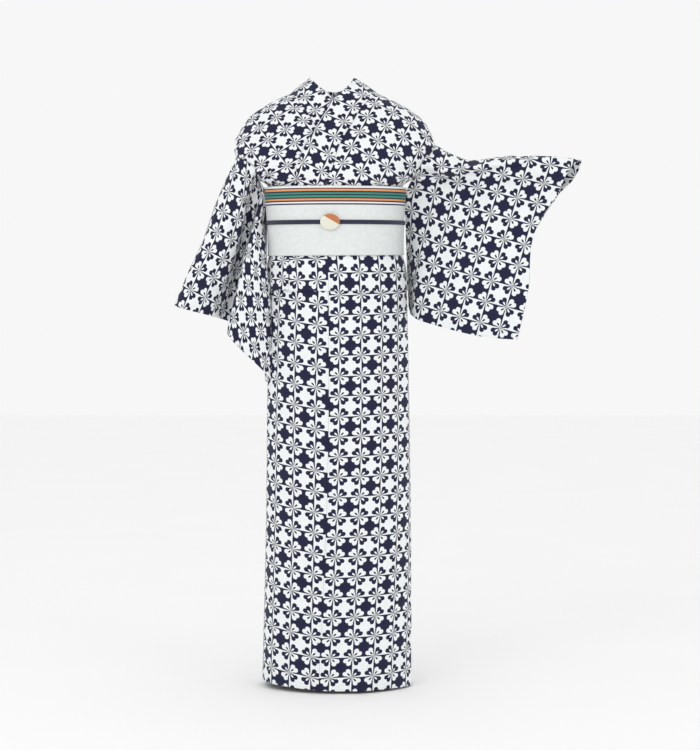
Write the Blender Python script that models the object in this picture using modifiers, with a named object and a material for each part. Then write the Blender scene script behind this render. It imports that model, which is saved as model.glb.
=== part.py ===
"""A cotton summer robe, wrapped left over right, with a flat sash.

Metres, Z up, the front towards -Y. The origin is the body's axis at shoulder height.
Each piece of cloth is an open sheet laid on one body form and given its thickness.
"""
import math

import bmesh
import bpy
import numpy as np
from mathutils import Matrix

CLOTH = 0.0014
COLLAR_THICKNESS = 0.0026
SASH_THICKNESS = 0.0030
SEAM_HALF_GAP = 0.00016
MILLIMETRE = 0.001
TURN = 360.0

# The body form, one row for each height: half width, depth in front, depth behind, middle line.
BODY_ROWS = (
    (0.0600, 0.0400, 0.040, 0.095, -0.0060),
    (0.0545, 0.0475, 0.045, 0.098, -0.0055),
    (0.0458, 0.0590, 0.052, 0.102, -0.0040),
    (0.0327, 0.0796, 0.060, 0.106, -0.0030),
    (0.0207, 0.0950, 0.066, 0.109, -0.0020),
    (0.0131, 0.1120, 0.070, 0.111, -0.0020),
    (0.0022, 0.1345, 0.075, 0.114, -0.0020),
    (-0.0174, 0.1670, 0.083, 0.117, -0.0015),
    (-0.0283, 0.1820, 0.087, 0.119, -0.0010),
    (-0.0458, 0.1975, 0.092, 0.121, 0.0000),
    (-0.0650, 0.2075, 0.096, 0.122, 0.0000),
    (-0.0830, 0.2160, 0.0995, 0.123, 0.0000),
    (-0.1000, 0.2170, 0.102, 0.123, 0.0000),
    (-0.1150, 0.2120, 0.104, 0.122, 0.0000),
    (-0.1300, 0.2020, 0.105, 0.121, 0.0000),
    (-0.1450, 0.1890, 0.106, 0.119, 0.0000),
    (-0.1570, 0.1750, 0.1055, 0.1150, 0.0000),
    (-0.1670, 0.1590, 0.1035, 0.1090, 0.0005),
    (-0.1760, 0.1460, 0.1005, 0.1025, 0.0010),
    (-0.1850, 0.1437, 0.0988, 0.0998, 0.0010),
    (-0.3240, 0.1371, 0.0980, 0.0980, 0.0016),
    (-0.3380, 0.1412, 0.1015, 0.1010, 0.0030),
    (-0.3520, 0.1440, 0.1045, 0.1035, 0.0040),
    (-0.4030, 0.1485, 0.112, 0.107, 0.0065),
    (-0.6000, 0.1530, 0.116, 0.111, 0.0070),
    (-0.8600, 0.1566, 0.118, 0.113, 0.0076),
    (-1.2800, 0.1624, 0.120, 0.115, 0.0035),
)

# Soft upright waves of the skirt: where they stand, how wide and how deep, growing to the hem.
SKIRT_WAVES = (
    (-62.0, 9.0, 0.0022),
    (-28.0, 12.0, -0.0016),
    (22.0, 8.0, 0.0016),
    (52.0, 10.0, -0.0020),
    (78.0, 7.0, 0.0026),
    (128.0, 12.0, 0.0030),
    (166.0, 10.0, -0.0024),
    (212.0, 12.0, 0.0028),
    (248.0, 10.0, -0.0022),
)

# The fold of cloth that hangs out below the sash: height and layer in millimetres.
TUCK_ROWS = (
    (-0.3520, 3.0),
    (-0.3740, 3.0),
    (-0.3960, 3.0),
    (-0.4020, 3.2),
    (-0.4036, 4.1),
    (-0.4020, 5.0),
    (-0.3960, 5.3),
    (-0.3740, 5.3),
    (-0.3520, 5.3),
    (-0.3440, 5.3),
    (-0.3370, 5.3),
    (-0.3310, 5.3),
    (-0.3240, 5.3),
)

# Hem height against turn.
HEM_ROWS = (
    (-98.0, -1.258),
    (-88.0, -1.254),
    (-45.0, -1.258),
    (0.0, -1.263),
    (45.0, -1.264),
    (90.0, -1.268),
    (180.0, -1.268),
    (262.0, -1.260),
)
SKIRT_HEIGHTS = (-0.262, -0.324, -0.331, -0.337, -0.344, -0.352, -0.374, -0.403,
                 -0.520, -0.680, -0.840, -1.000, -1.130)

# The armholes, from the shoulder tip down the front: turn from the side line, height.
ARMHOLE_LEFT = (
    (0.0, -0.0894),
    (8.8, -0.0967),
    (18.0, -0.1090),
    (23.0, -0.1230),
    (21.0, -0.1420),
    (14.0, -0.1560),
    (1.0, -0.1640),
)
ARMHOLE_RIGHT = (
    (0.0, -0.1134),
    (14.0, -0.1180),
    (24.0, -0.1270),
    (28.5, -0.1395),
    (23.0, -0.1510),
    (13.0, -0.1600),
    (1.0, -0.1650),
)

# The collar, from the hidden right end round the neck to the left end below the sash.
# Turn and height of the seam, turn and height of the free edge, layer in millimetres.
COLLAR_RIGHT_ROWS = (
    (20.0, -0.2500, 44.0, -0.2350, -0.4),
    (12.0, -0.2100, 33.0, -0.1900, -1.4),
    (3.6, -0.1664, 22.0, -0.1400, 0.1),
    (-1.2, -0.1355, 16.0, -0.1000, 1.3),
    (-3.6, -0.1003, 12.3, -0.0730, 1.3),
    (-12.3, -0.0493, 5.3, -0.0260, 1.3),
    (-19.8, -0.0207, -3.0, 0.0100, 1.3),
    (-46.0, 0.0150, -22.0, 0.0330, 1.3),
    (-90.0, 0.0392, -70.0, 0.0531, 1.3),
    (-132.0, 0.0180, -120.0, 0.0520, 1.3),
)
COLLAR_BACK_ROW = (-180.0, -0.0150, -180.0, 0.0330, 1.3)
COLLAR_LEFT_ROWS = (
    (132.0, 0.0180, 120.0, 0.0520, 1.3),
    (90.0, 0.0392, 66.0, 0.0522, 1.6),
    (44.0, 0.0140, 18.0, 0.0290, 3.6),
    (18.2, -0.0207, -0.5, 0.0032, 5.2),
    (10.4, -0.0493, -6.3, -0.0260, 5.2),
    (2.0, -0.1003, -13.5, -0.0730, 5.2),
    (-0.6, -0.1355, -17.3, -0.1000, 5.2),
    (-6.1, -0.1664, -24.0, -0.1400, 5.2),
    (-10.5, -0.1900, -29.5, -0.1680, 4.3),
    (-14.8, -0.2120, -36.5, -0.1900, 4.7),
    (-20.0, -0.2350, -46.0, -0.2150, 5.5),
    (-32.0, -0.2830, -67.0, -0.2750, 5.8),
    (-43.5, -0.3240, -86.5, -0.3240, 5.9),
)
COLLAR_END_HEIGHTS = (-0.331, -0.337, -0.344, -0.352, -0.374, -0.396, -0.4032)
COLLAR_SEAM_TURN = -43.5
COLLAR_FREE_TURN = -87.0
COLLAR_STEPS = 2

# The body's cloth above the waist, from the sash up the front, over the shoulder, down the back.
# Turn and height at the collar, overlap or middle-back seam, share of the way along the armhole
# edge, and the layer in millimetres at both edges. Below the armhole the outer edge is the side.
BODICE_LEFT_FRONT = (
    (-7.2, -0.3240, -0.3240, 5.3, 5.3),
    (-7.2, -0.2500, -0.2500, 5.0, 3.6),
    (-7.0, -0.1850, -0.1850, 4.6, 0.7),
)
BODICE_RIGHT_FRONT = (
    (6.0, -0.2500, -0.2500, 0.7, 0.7),
    (6.0, -0.1850, -0.1850, 0.7, 0.7),
)
OVERLAP_SEAM_TURN = -7.2
BACK_TUCK_TURN = {"bodice_left": 90.0, "bodice_right": 89.0}

# Sleeve folds, one line for each: its share of the way round from the top fold to the bottom
# seam, then x, y, z at the six stations from the armhole to the cuff.
SLEEVE_STATIONS = (0.0, 0.12, 0.3, 0.55, 0.8, 1.0)
RAISED_FOLDS = (
    (0.00, ((0.2185, 0.000, -0.0900), (0.2497, -0.018, -0.1080), (0.3000, -0.040, -0.1245),
            (0.3850, -0.070, -0.1165), (0.4620, -0.092, -0.1195), (0.5245, -0.110, -0.1271))),
    (0.25, ((0.1650, 0.002, -0.1860), (0.2050, -0.006, -0.1900), (0.2620, -0.033, -0.1950),
            (0.3370, -0.068, -0.1980), (0.4150, -0.096, -0.1990), (0.4720, -0.1135, -0.2040))),
    (0.45, ((0.1690, 0.030, -0.2550), (0.1880, 0.008, -0.2600), (0.2250, -0.030, -0.2700),
            (0.2920, -0.070, -0.2780), (0.3680, -0.100, -0.2800), (0.4260, -0.118, -0.2790))),
    (0.75, ((0.1740, 0.050, -0.3650), (0.1765, 0.022, -0.3680), (0.1930, -0.032, -0.3730),
            (0.2580, -0.076, -0.3850), (0.3380, -0.106, -0.3950), (0.4115, -0.125, -0.4050))),
    (1.00, ((0.1780, 0.060, -0.4550), (0.1765, 0.024, -0.4570), (0.1800, -0.038, -0.4650),
            (0.2430, -0.079, -0.4860), (0.3300, -0.110, -0.5040), (0.3890, -0.130, -0.5080))),
)
HANGING_FOLDS = (
    (0.00, ((-0.2190, 0.000, -0.1140), (-0.2290, -0.008, -0.1480), (-0.2490, -0.025, -0.2080),
            (-0.2750, -0.043, -0.2880), (-0.3151, -0.052, -0.3726), (-0.3425, -0.060, -0.4384))),
    (0.26, ((-0.1630, 0.000, -0.1840), (-0.1750, 0.004, -0.1960), (-0.1890, 0.012, -0.2500),
            (-0.2060, 0.014, -0.3320), (-0.2240, 0.014, -0.4150), (-0.2376, 0.012, -0.4752))),
    (0.43, ((-0.1640, 0.003, -0.2200), (-0.1710, -0.006, -0.2340), (-0.1860, -0.036, -0.2780),
            (-0.2070, -0.053, -0.3540), (-0.2260, -0.054, -0.4400), (-0.2391, -0.054, -0.5039))),
    (0.60, ((-0.1650, 0.022, -0.2800), (-0.1660, 0.010, -0.2950), (-0.1640, -0.032, -0.3250),
            (-0.1640, -0.050, -0.4000), (-0.1655, -0.051, -0.4980), (-0.1680, -0.050, -0.5760))),
    (1.00, ((-0.1690, 0.065, -0.4200), (-0.1680, 0.062, -0.4450), (-0.1670, 0.056, -0.4800),
            (-0.1660, 0.040, -0.5300), (-0.1640, 0.020, -0.5780), (-0.1610, 0.004, -0.6040))),
)
ARM_RADIUS_SHOULDER = 0.038
ARM_RADIUS_CUFF = 0.033
ARM_CENTRE_SHARE = 0.10
ARM_END_SHARE = 0.25
RAISED_BAG_HALF_GAP = 0.0040
HANGING_BAG_HALF_GAP = 0.0024
ROOT_HALF_GAP = 0.0038
ROOT_REACH = 0.28
RAISED_CUFF_SHARE = 0.38
HANGING_CUFF_SHARE = 0.31
ARMHOLE_SHARE_LEFT = 0.25
ARMHOLE_SHARE_RIGHT = 0.26
SLEEVE_LAYER = 2.7
SLEEVE_COLUMNS = 12
SLEEVE_SHARES = (0.0, 0.010, 0.035, 0.07, 0.11, 0.155, 0.20, 0.24, 0.275, 0.31, 0.35, 0.39,
                 0.43, 0.47, 0.52, 0.57, 0.62, 0.68, 0.76, 0.86, 0.955, 1.0)

SASH_HEIGHTS = (-0.1780, -0.1850, -0.2550, -0.3240, -0.3318)
SASH_LAYER = 9.1
CORD_HEIGHT = 0.0094
CORD_MIDDLE = -0.2573
CORD_LAYER = 12.2
CORD_THICKNESS = 0.0026
CLIP_CENTRE = (-0.0096, -0.2573)
CLIP_SIZE = (0.042, 0.0070, 0.034)
CLIP_LAYER = 13.9

NAVY = (0.026, 0.030, 0.091, 1.0)
PALE = (0.75, 0.78, 0.77, 1.0)
CLIP_COLOUR = (0.85, 0.80, 0.65, 1.0)
CLOTH_ROUGHNESS = 0.9
CLIP_ROUGHNESS = 0.35


def clear_scene():
    for item in list(bpy.data.objects):
        bpy.data.objects.remove(item, do_unlink=True)


def make_collection(name):
    group = bpy.data.collections.new(name)
    bpy.context.scene.collection.children.link(group)
    return group


def smooth(keys, values, places, flowing=False):
    """Cubic curve through the rows: level at their turning points, or flowing past them."""
    keys = np.asarray(keys, float)
    values = np.asarray(values, float)
    if values.ndim == 1:
        return smooth(keys, values[:, None], places, flowing)[..., 0]
    gap = np.diff(keys)[:, None]
    slope = np.diff(values, axis=0) / gap
    before, after = slope[:-1], slope[1:]
    same_way = before * after > 0
    total = np.where(same_way, before + after, 1.0)
    middle = np.where(same_way, 2 * before * after / total, 0.0)
    if flowing:
        middle = (gap[1:] * before + gap[:-1] * after) / (gap[1:] + gap[:-1])
    tangent = np.vstack([slope[:1], middle, slope[-1:]])
    places = np.clip(np.asarray(places, float), keys[0], keys[-1])
    row = np.clip(np.searchsorted(keys, places, side="right") - 1, 0, len(keys) - 2)
    step = gap[row]
    part = ((places - keys[row])[..., None]) / step
    left = (1 + 2 * part) * (1 - part) ** 2 * values[row] + part * (1 - part) ** 2 * step * tangent[row]
    right = part ** 2 * (3 - 2 * part) * values[row + 1] + part ** 2 * (part - 1) * step * tangent[row + 1]
    return left + right


BODY_TABLE = np.array(BODY_ROWS)[::-1]


def skirt_wave(turn, height):
    growth = np.clip((-0.42 - height) / 0.8, 0.0, 1.0)
    total = np.zeros_like(height)
    for place, width, depth in SKIRT_WAVES:
        away = (turn - place + 180.0) % TURN - 180.0
        total = total + depth * np.exp(-(away / width) ** 2)
    return total * growth


def form_point(turn, height):
    """A point on the body form itself."""
    half_width, front, back, middle = np.moveaxis(
        smooth(BODY_TABLE[:, 0], BODY_TABLE[:, 1:], height), -1, 0)
    angle = np.radians(turn)
    depth = np.where(np.cos(angle) > 0, front, back)
    wave = skirt_wave(turn, height)
    across = middle + (half_width + wave) * np.sin(angle)
    along = -(depth + wave) * np.cos(angle)
    return np.stack([across, along, height], axis=-1)


def form_normal(turn, height):
    """The outward direction of the body form."""
    nudge_turn, nudge_height = 0.2, 0.0004
    around = form_point(turn + nudge_turn, height) - form_point(turn - nudge_turn, height)
    upward = form_point(turn, height + nudge_height) - form_point(turn, height - nudge_height)
    outward = np.cross(around, upward)
    return outward / np.linalg.norm(outward, axis=-1, keepdims=True)


def on_body(turn, height, layer):
    """A point that many millimetres outside the body form."""
    turn, height, layer = np.broadcast_arrays(
        np.asarray(turn, float), np.asarray(height, float), np.asarray(layer, float))
    return form_point(turn, height) + form_normal(turn, height) * (layer * MILLIMETRE)[..., None]


def through(rows, steps):
    """Extra rows on a smooth way through the given ones."""
    rows = np.array(rows, float)
    places = np.linspace(0, len(rows) - 1, (len(rows) - 1) * steps + 1)
    return smooth(np.arange(len(rows)), rows, places)


def even(share):
    return share


def late(share):
    """Layers stay apart near the collar and come together at the armhole."""
    return share ** 3


def early(share):
    """The underlap steps inwards just after the side seam."""
    return 1 - (1 - share) ** 14


def ruled_grid(near, far, columns, crowd=1.0, step=even):
    """Points between two edges given as turn, height and layer."""
    near, far = np.asarray(near, float), np.asarray(far, float)
    width = np.linalg.norm(on_body(*near.T) - on_body(*far.T), axis=-1)
    trim = np.minimum(SEAM_HALF_GAP / np.maximum(width, 0.001), 0.2)[:, None]
    share = np.linspace(0, 1, columns)[None, :] ** crowd
    share = trim + (1 - 2 * trim) * share
    place = near[:, None, :2] + (far - near)[:, None, :2] * share[..., None]
    layer = near[:, None, 2] + (far - near)[:, None, 2] * step(share)
    return on_body(place[..., 0], place[..., 1], layer)


def material(name, colour, roughness):
    made = bpy.data.materials.new(name)
    made.use_nodes = True
    shader = made.node_tree.nodes["Principled BSDF"]
    shader.inputs["Base Color"].default_value = colour
    shader.inputs["Roughness"].default_value = roughness
    shader.inputs["Metallic"].default_value = 0.0
    return made


def finish_object(name, mesh, colour, group, roughness=CLOTH_ROUGHNESS):
    """The mesh shaded smooth, with its own material, in the part's collection."""
    mesh.materials.append(material(name + "_material", colour, roughness))
    mesh.shade_smooth()
    item = bpy.data.objects.new(name, mesh)
    group.objects.link(item)
    return item


def add_object(name, points, faces, thickness, colour, group):
    """A mesh from points and faces, an open sheet that its thickness makes solid."""
    mesh = bpy.data.meshes.new(name)
    mesh.from_pydata([tuple(point) for point in points], [], faces)
    item = finish_object(name, mesh, colour, group)
    thicken = item.modifiers.new("thickness", "SOLIDIFY")
    thicken.thickness = thickness
    thicken.offset = 0.0
    thicken.use_even_offset = True
    thicken.use_rim = True


def grid_faces(rows, columns, closed=False):
    faces = []
    last = columns if closed else columns - 1
    for row in range(rows - 1):
        for column in range(last):
            beside = (column + 1) % columns
            faces.append((row * columns + column, row * columns + beside,
                          (row + 1) * columns + beside, (row + 1) * columns + column))
    return faces


def add_sheet(name, grid, colour, group, thickness=CLOTH, closed=False):
    rows, columns = grid.shape[:2]
    faces = grid_faces(rows, columns, closed)
    add_object(name, grid.reshape(-1, 3), faces, thickness, colour, group)


def armhole_edge(table, side, share, back=False):
    """Turn and height on the armhole edge, from the shoulder tip (0) to the armpit (1)."""
    table = np.array(table)
    turn, height = smooth(np.linspace(0, 1, len(table)), table, share).T
    turn = 90.0 + turn if back else 90.0 - turn
    return np.stack([side * turn, height], axis=-1)


def tuck_rows(turn):
    """The tuck's profile at one turn, from its hidden end down, out and up."""
    return np.array([(turn, height, layer) for height, layer in TUCK_ROWS])


def side_edges(rows, side_turn):
    """Edges of the cloth below the armhole: at its inner seam and at the side."""
    rows = np.array(rows)
    near = rows[:, [0, 1, 3]]
    far = np.column_stack([np.full(len(rows), side_turn), rows[:, 2], rows[:, 4]])
    return near, far


def arm_edges(seam, rows, armhole, side):
    """Edges of the cloth over the shoulder: along the collar seam and round the armhole."""
    rows = through(rows, COLLAR_STEPS)
    back = rows[:, 0] > 0
    edge = np.where(back[:, None],
                    armhole_edge(armhole, side, np.abs(rows[:, 0]), back=True),
                    armhole_edge(armhole, side, np.abs(rows[:, 0])))
    return np.column_stack([seam, rows[:, 1]]), np.column_stack([edge, rows[:, 2]])


def join_edges(*parts):
    """One pair of edges from several, each starting where the one before it ends."""
    near = np.vstack([part[0] for part in parts])
    far = np.vstack([part[1] for part in parts])
    return near, far


def before_arm(edges, arm):
    """Extra rows up to the start of the shoulder's edges."""
    return [through(np.vstack([edge, along_arm[:1]]), 2)[:-1] for edge, along_arm in zip(edges, arm)]


def after_arm(arm, edges):
    """Extra rows down from the end of the shoulder's edges."""
    return [through(np.vstack([along_arm[-1:], edge]), 2)[1:] for along_arm, edge in zip(arm, edges)]


def back_seam(side):
    near = ((180.0, -0.0550, 0.7), (180.0, -0.1150, 0.7), (180.0, -0.1600, 0.7))
    near += ((180.0, -0.1850, 0.7), (180.0, -0.2500, 3.6), (180.0, -0.3240, 5.3))
    return [(side * turn, height, layer) for turn, height, layer in near]


def back_outer(armhole, side):
    shares = (0.45, 0.75, 1.0)
    edge = armhole_edge(armhole, side, np.array(shares), back=True)
    near_arm = [(turn, height, 0.7) for turn, height in edge]
    below = [(side * 90.0, -0.1850, 0.7), (side * 90.0, -0.2500, 3.6), (side * 90.0, -0.3240, 5.3)]
    return near_arm + below


def shoulder_part(seam, layers, armhole, side):
    """Shares run from the armpit (-1) over the tip (0) to the back (+)."""
    shares = (-1.0, -0.80, -0.55, -0.32, -0.18, -0.08, 0.0, 0.10, 0.24)
    rows = [(share, layer, 0.7) for share, layer in zip(shares, layers)]
    return arm_edges(seam, rows, armhole, side)


def add_bodice(name, front_rows, arm, armhole, side, tuck_in_front, group):
    """The cloth from the front's sash line over the shoulder and down the back to the tuck."""
    side_turn = side * 90.0
    front = before_arm(side_edges(front_rows, side_turn), arm)
    back = after_arm(arm, (back_seam(side), back_outer(armhole, side)))
    tuck = (tuck_rows(side * 180.0)[::-1][1:], tuck_rows(side * BACK_TUCK_TURN[name])[::-1][1:])
    parts = [front, arm, back, tuck]
    if tuck_in_front:
        parts.insert(0, (tuck_rows(OVERLAP_SEAM_TURN)[:-1], tuck_rows(side_turn)[:-1]))
    near, far = join_edges(*parts)
    add_sheet(name, ruled_grid(near, far, 11, step=late), NAVY, group)


def collar_path():
    left = [(row[0] - TURN, row[1], row[2] - TURN) + row[3:] for row in COLLAR_LEFT_ROWS]
    rows = list(COLLAR_RIGHT_ROWS) + [COLLAR_BACK_ROW] + left
    return through(rows, COLLAR_STEPS)


def collar_seam(first, last, side):
    """Turn and height of the collar's seam between two of its rows."""
    path = collar_path()
    step = 1 if last > first else -1
    part = path[first * COLLAR_STEPS:last * COLLAR_STEPS + step or None:step, :2].copy()
    if side > 0:
        part[:, 0] += TURN
    return part


def add_bodices(group):
    back = len(COLLAR_RIGHT_ROWS)
    left_seam = collar_seam(back + 8, back, 1)
    left_arm = shoulder_part(left_seam, (4.6, 4.6, 4.6, 4.6, 4.6, 3.2, 0.9, 0.7, 0.7), ARMHOLE_LEFT, 1)
    add_bodice("bodice_left", BODICE_LEFT_FRONT, left_arm, ARMHOLE_LEFT, 1, True, group)
    right_seam = collar_seam(2, back, -1)
    right_arm = shoulder_part(right_seam, (0.7,) * 9, ARMHOLE_RIGHT, -1)
    add_bodice("bodice_right", BODICE_RIGHT_FRONT, right_arm, ARMHOLE_RIGHT, -1, False, group)


def add_overlap_left_upper(group):
    """The overlap below the collar, which it meets under the sash."""
    near = ((COLLAR_SEAM_TURN, -0.3240, 5.3), (-22.5, -0.2500, 5.2), (-11.0, -0.2000, 5.0))
    far = ((OVERLAP_SEAM_TURN, -0.3240, 5.3), (OVERLAP_SEAM_TURN, -0.2500, 5.0), (-7.0, -0.2000, 4.7))
    near = np.vstack([tuck_rows(COLLAR_SEAM_TURN)[:-1], through(near, 3)])
    far = np.vstack([tuck_rows(OVERLAP_SEAM_TURN)[:-1], through(far, 3)])
    add_sheet("overlap_left_upper", ruled_grid(near, far, 6), NAVY, group)


def add_overlap_right_upper(group):
    near = ((18.8, -0.2500, 0.7), (10.5, -0.2120, 0.7), (7.6, -0.1980, 0.7))
    far = ((6.0, -0.2500, 0.7), (6.0, -0.2150, 0.7), (6.0, -0.2000, 0.7))
    add_sheet("overlap_right_upper", ruled_grid(through(near, 2), through(far, 2), 4), NAVY, group)


def add_collar(group):
    rows = collar_path()
    end = [(COLLAR_SEAM_TURN - TURN, height, COLLAR_FREE_TURN - TURN, height, 5.9)
           for height in COLLAR_END_HEIGHTS]
    rows = np.vstack([rows, end])
    grid = ruled_grid(rows[:, [0, 1, 4]], rows[:, [2, 3, 4]], 5)
    add_sheet("collar", grid, NAVY, group, thickness=COLLAR_THICKNESS)


def hem_height(turn):
    table = np.array(HEM_ROWS)
    return np.interp(turn, table[:, 0], table[:, 1])


def add_skirt_panel(name, near_turns, far_turns, layers, columns, group, crowd=1.0, step=even):
    """A skirt length between two edges, each a turn at the waist, at mid skirt and at the hem."""
    def edge(turns, layer):
        heights = np.append(SKIRT_HEIGHTS, hem_height(turns[2]))
        turn = smooth((-1.26, -0.60, -0.262), turns[::-1], heights)
        return np.column_stack([turn, heights, np.full(len(heights), layer)])
    grid = ruled_grid(edge(near_turns, layers[0]), edge(far_turns, layers[1]), columns, crowd, step)
    add_sheet(name, grid, NAVY, group)


def add_skirt(group):
    panels = (
        ("skirt_back_left", (90, 90, 90), (180, 180, 180), (0.7, 0.7), 11),
        ("skirt_back_right", (180, 180, 180), (262, 262, 262), (0.7, 0.7), 10),
        ("skirt_front_left", (-7.2, -7.2, -13.6), (90, 90, 90), (0.7, 0.7), 11),
        ("overlap_left", (-87, -87, -87), (-7.2, -7.2, -13.6), (0.7, 0.7), 11),
        ("overlap_right", (7, 7, 9), (76, 78, 82), (-2.5, -2.5), 8),
    )
    for name, near, far, layers, columns in panels:
        add_skirt_panel(name, near, far, layers, columns, group)
    add_skirt_panel("skirt_front_right", (-98, -98, -98), (7, 7, 9), (0.7, -2.5), 13, group, 1.7, early)


def sleeve_middle(folds, along, around):
    """The sheet midway between a sleeve's front and back."""
    shares = [fold[0] for fold in folds]
    lines = np.array([fold[1] for fold in folds])
    across = np.stack([smooth(SLEEVE_STATIONS, line, along) for line in lines])
    rows = [smooth(shares, across[:, column], around, flowing=True) for column in range(len(along))]
    return np.stack(rows)


def sleeve_half_gap(along, around, bag_half_gap):
    """Half the space between front and back: round over the arm, thin in the bag."""
    radius = ARM_RADIUS_SHOULDER + (ARM_RADIUS_CUFF - ARM_RADIUS_SHOULDER) * along[:, None]
    around = around[None, :]
    up_to = np.clip(around / ARM_CENTRE_SHARE, 0, 1)
    rise = np.sqrt(1 - (1 - up_to) ** 2)
    fall = np.clip((around - ARM_CENTRE_SHARE) / (ARM_END_SHARE - ARM_CENTRE_SHARE), 0, 1)
    fall = 0.5 + 0.5 * np.cos(math.pi * fall)
    close = np.sqrt(np.clip(1 - ((around - 0.95) / 0.05).clip(0, 1) ** 2, 0, 1))
    return (radius * rise * fall + bag_half_gap * (1 - fall)) * close


def sheet_normal(grid):
    around = np.gradient(grid, axis=1)
    along = np.gradient(grid, axis=0)
    outward = np.cross(around, along)
    return outward / np.linalg.norm(outward, axis=-1, keepdims=True)


def sleeve_root(middle, normal, armhole, side, armhole_share, around):
    """The sleeve's inner end: on the armhole's edge, then the free edge that hangs below it."""
    inside = np.clip(around / armhole_share, 0, 1)
    front = on_body(*armhole_edge(armhole, side, inside).T, SLEEVE_LAYER)
    back = on_body(*armhole_edge(armhole, side, inside, back=True).T, SLEEVE_LAYER)
    close = np.sqrt(np.clip(1 - ((around - 0.95) / 0.05).clip(0, 1) ** 2, 0, 1))[:, None]
    free_front = middle + normal * ROOT_HALF_GAP * close
    free_back = middle - normal * ROOT_HALF_GAP * close
    hanging = np.clip((around - armhole_share) / 0.06, 0, 1)[:, None]
    hanging = hanging * hanging * (3 - 2 * hanging)
    return front + (free_front - front) * hanging, back + (free_back - back) * hanging


def raised_roll(along, around):
    """The rolled ridge across the raised sleeve's front, with the hollow under it."""
    line = 0.20 - 0.15 * along[:, None]
    away = around[None, :] - line
    size = 0.006 * np.clip(1.1 - along[:, None], 0, 1)
    return size * (np.exp(-((away + 0.02) / 0.04) ** 2) - 0.9 * np.exp(-((away - 0.05) / 0.045) ** 2))


def add_sleeve(name, folds, armhole, side, shares, bag_half_gap, front_relief, group):
    """One sleeve: shares are how far round the armhole reaches, and where the cuff's opening ends."""
    armhole_share, cuff_share = shares
    along = np.linspace(0, 1, SLEEVE_COLUMNS) ** 1.15
    around = np.array(SLEEVE_SHARES)
    middle = sleeve_middle(folds, along, around)
    normal = sheet_normal(middle) * side
    gap = sleeve_half_gap(along, around, bag_half_gap)
    front = middle + normal * (gap + front_relief(along, around))[..., None]
    back = middle - normal * gap[..., None]
    root_front, root_back = sleeve_root(middle[0], normal[0], armhole, side, armhole_share, around)
    reach = (np.clip(1 - along / ROOT_REACH, 0, 1) ** 2)[:, None, None]
    front = front + reach * (root_front - front[0])
    back = back + reach * (root_back - back[0])
    top = (front[:, :1] + back[:, :1]) / 2
    bottom = (front[:, -1:] + back[:, -1:]) / 2
    loop = np.concatenate([top, front[:, 1:-1], bottom, back[:, -2:0:-1]], axis=1)
    columns = loop.shape[1]
    faces = grid_faces(len(along), columns, closed=True)
    base = (len(along) - 1) * columns
    for step in range(1, len(around) - 1):
        if around[step] < cuff_share:
            continue
        first, second = base + step, base + step + 1
        second_back, first_back = base + columns - step - 1, base + columns - step
        corner = (first, second, second_back, first_back)
        faces.append(corner if second != second_back else (first, second, first_back))
    if side < 0:
        faces = [face[::-1] for face in faces]
    add_object(name, loop.reshape(-1, 3), faces, CLOTH, NAVY, group)


def no_relief(along, around):
    return np.zeros((len(along), len(around)))


def add_sleeves(group):
    raised = (ARMHOLE_SHARE_LEFT, RAISED_CUFF_SHARE)
    add_sleeve("sleeve_left", RAISED_FOLDS, ARMHOLE_LEFT, 1, raised, RAISED_BAG_HALF_GAP, raised_roll, group)
    hanging = (ARMHOLE_SHARE_RIGHT, HANGING_CUFF_SHARE)
    add_sleeve("sleeve_right", HANGING_FOLDS, ARMHOLE_RIGHT, -1, hanging, HANGING_BAG_HALF_GAP, no_relief,
               group)


def add_ring(name, heights, layer, thickness, colour, group, segments=48):
    turns = np.arange(segments) * TURN / segments
    flat = [on_body(turns, np.full(segments, height), layer) for height in heights]
    add_sheet(name, np.stack(flat), colour, group, thickness, closed=True)


def add_sash(group):
    add_ring("sash_wrap", SASH_HEIGHTS, SASH_LAYER, SASH_THICKNESS, PALE, group)
    cord = (CORD_MIDDLE - CORD_HEIGHT / 2, CORD_MIDDLE + CORD_HEIGHT / 2)
    add_ring("sash_cord", cord, CORD_LAYER, CORD_THICKNESS, NAVY, group)


def add_tie(group):
    """The flat tie behind: two slanting ends and the band that holds them."""
    pieces = (
        ("sash_end_narrow", (166, -0.292, 15.6), (184, -0.308, 15.6), (140, -0.206, 15.6), (158, -0.192, 15.6)),
        ("sash_end_wide", (196, -0.292, 19.1), (172, -0.312, 19.1), (226, -0.206, 19.1), (200, -0.190, 19.1)),
        ("sash_knot", (167, -0.262, 22.7), (189, -0.300, 22.7), (172, -0.205, 22.7), (194, -0.243, 22.7)),
    )
    for name, low_near, low_far, high_near, high_far in pieces:
        near, far = through((low_near, high_near), 8), through((low_far, high_far), 8)
        add_sheet(name, ruled_grid(near, far, 6), PALE, group, SASH_THICKNESS)


def add_clip(group):
    """A low dome, rounded on both faces, that stands just clear of the cord."""
    across, height = CLIP_CENTRE
    surface = on_body(-4.0, height, CLIP_LAYER)[1] - 0.0003
    half = [size / 2 for size in CLIP_SIZE]
    place = Matrix.Translation((across, surface - half[1], height))
    shape = place @ Matrix.Diagonal((*half, 1.0)) @ Matrix.Rotation(math.pi / 2, 4, "X")
    dome = bmesh.new()
    bmesh.ops.create_uvsphere(dome, u_segments=24, v_segments=12, radius=1.0)
    bmesh.ops.transform(dome, matrix=shape, verts=dome.verts)
    mesh = bpy.data.meshes.new("sash_clip")
    dome.to_mesh(mesh)
    dome.free()
    finish_object("sash_clip", mesh, CLIP_COLOUR, group, CLIP_ROUGHNESS)


def main():
    clear_scene()
    group = make_collection("robe")
    make_collection("cutters")
    add_bodices(group)
    add_overlap_left_upper(group)
    add_overlap_right_upper(group)
    add_collar(group)
    add_skirt(group)
    add_sleeves(group)
    add_sash(group)
    add_tie(group)
    add_clip(group)


main()
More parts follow.
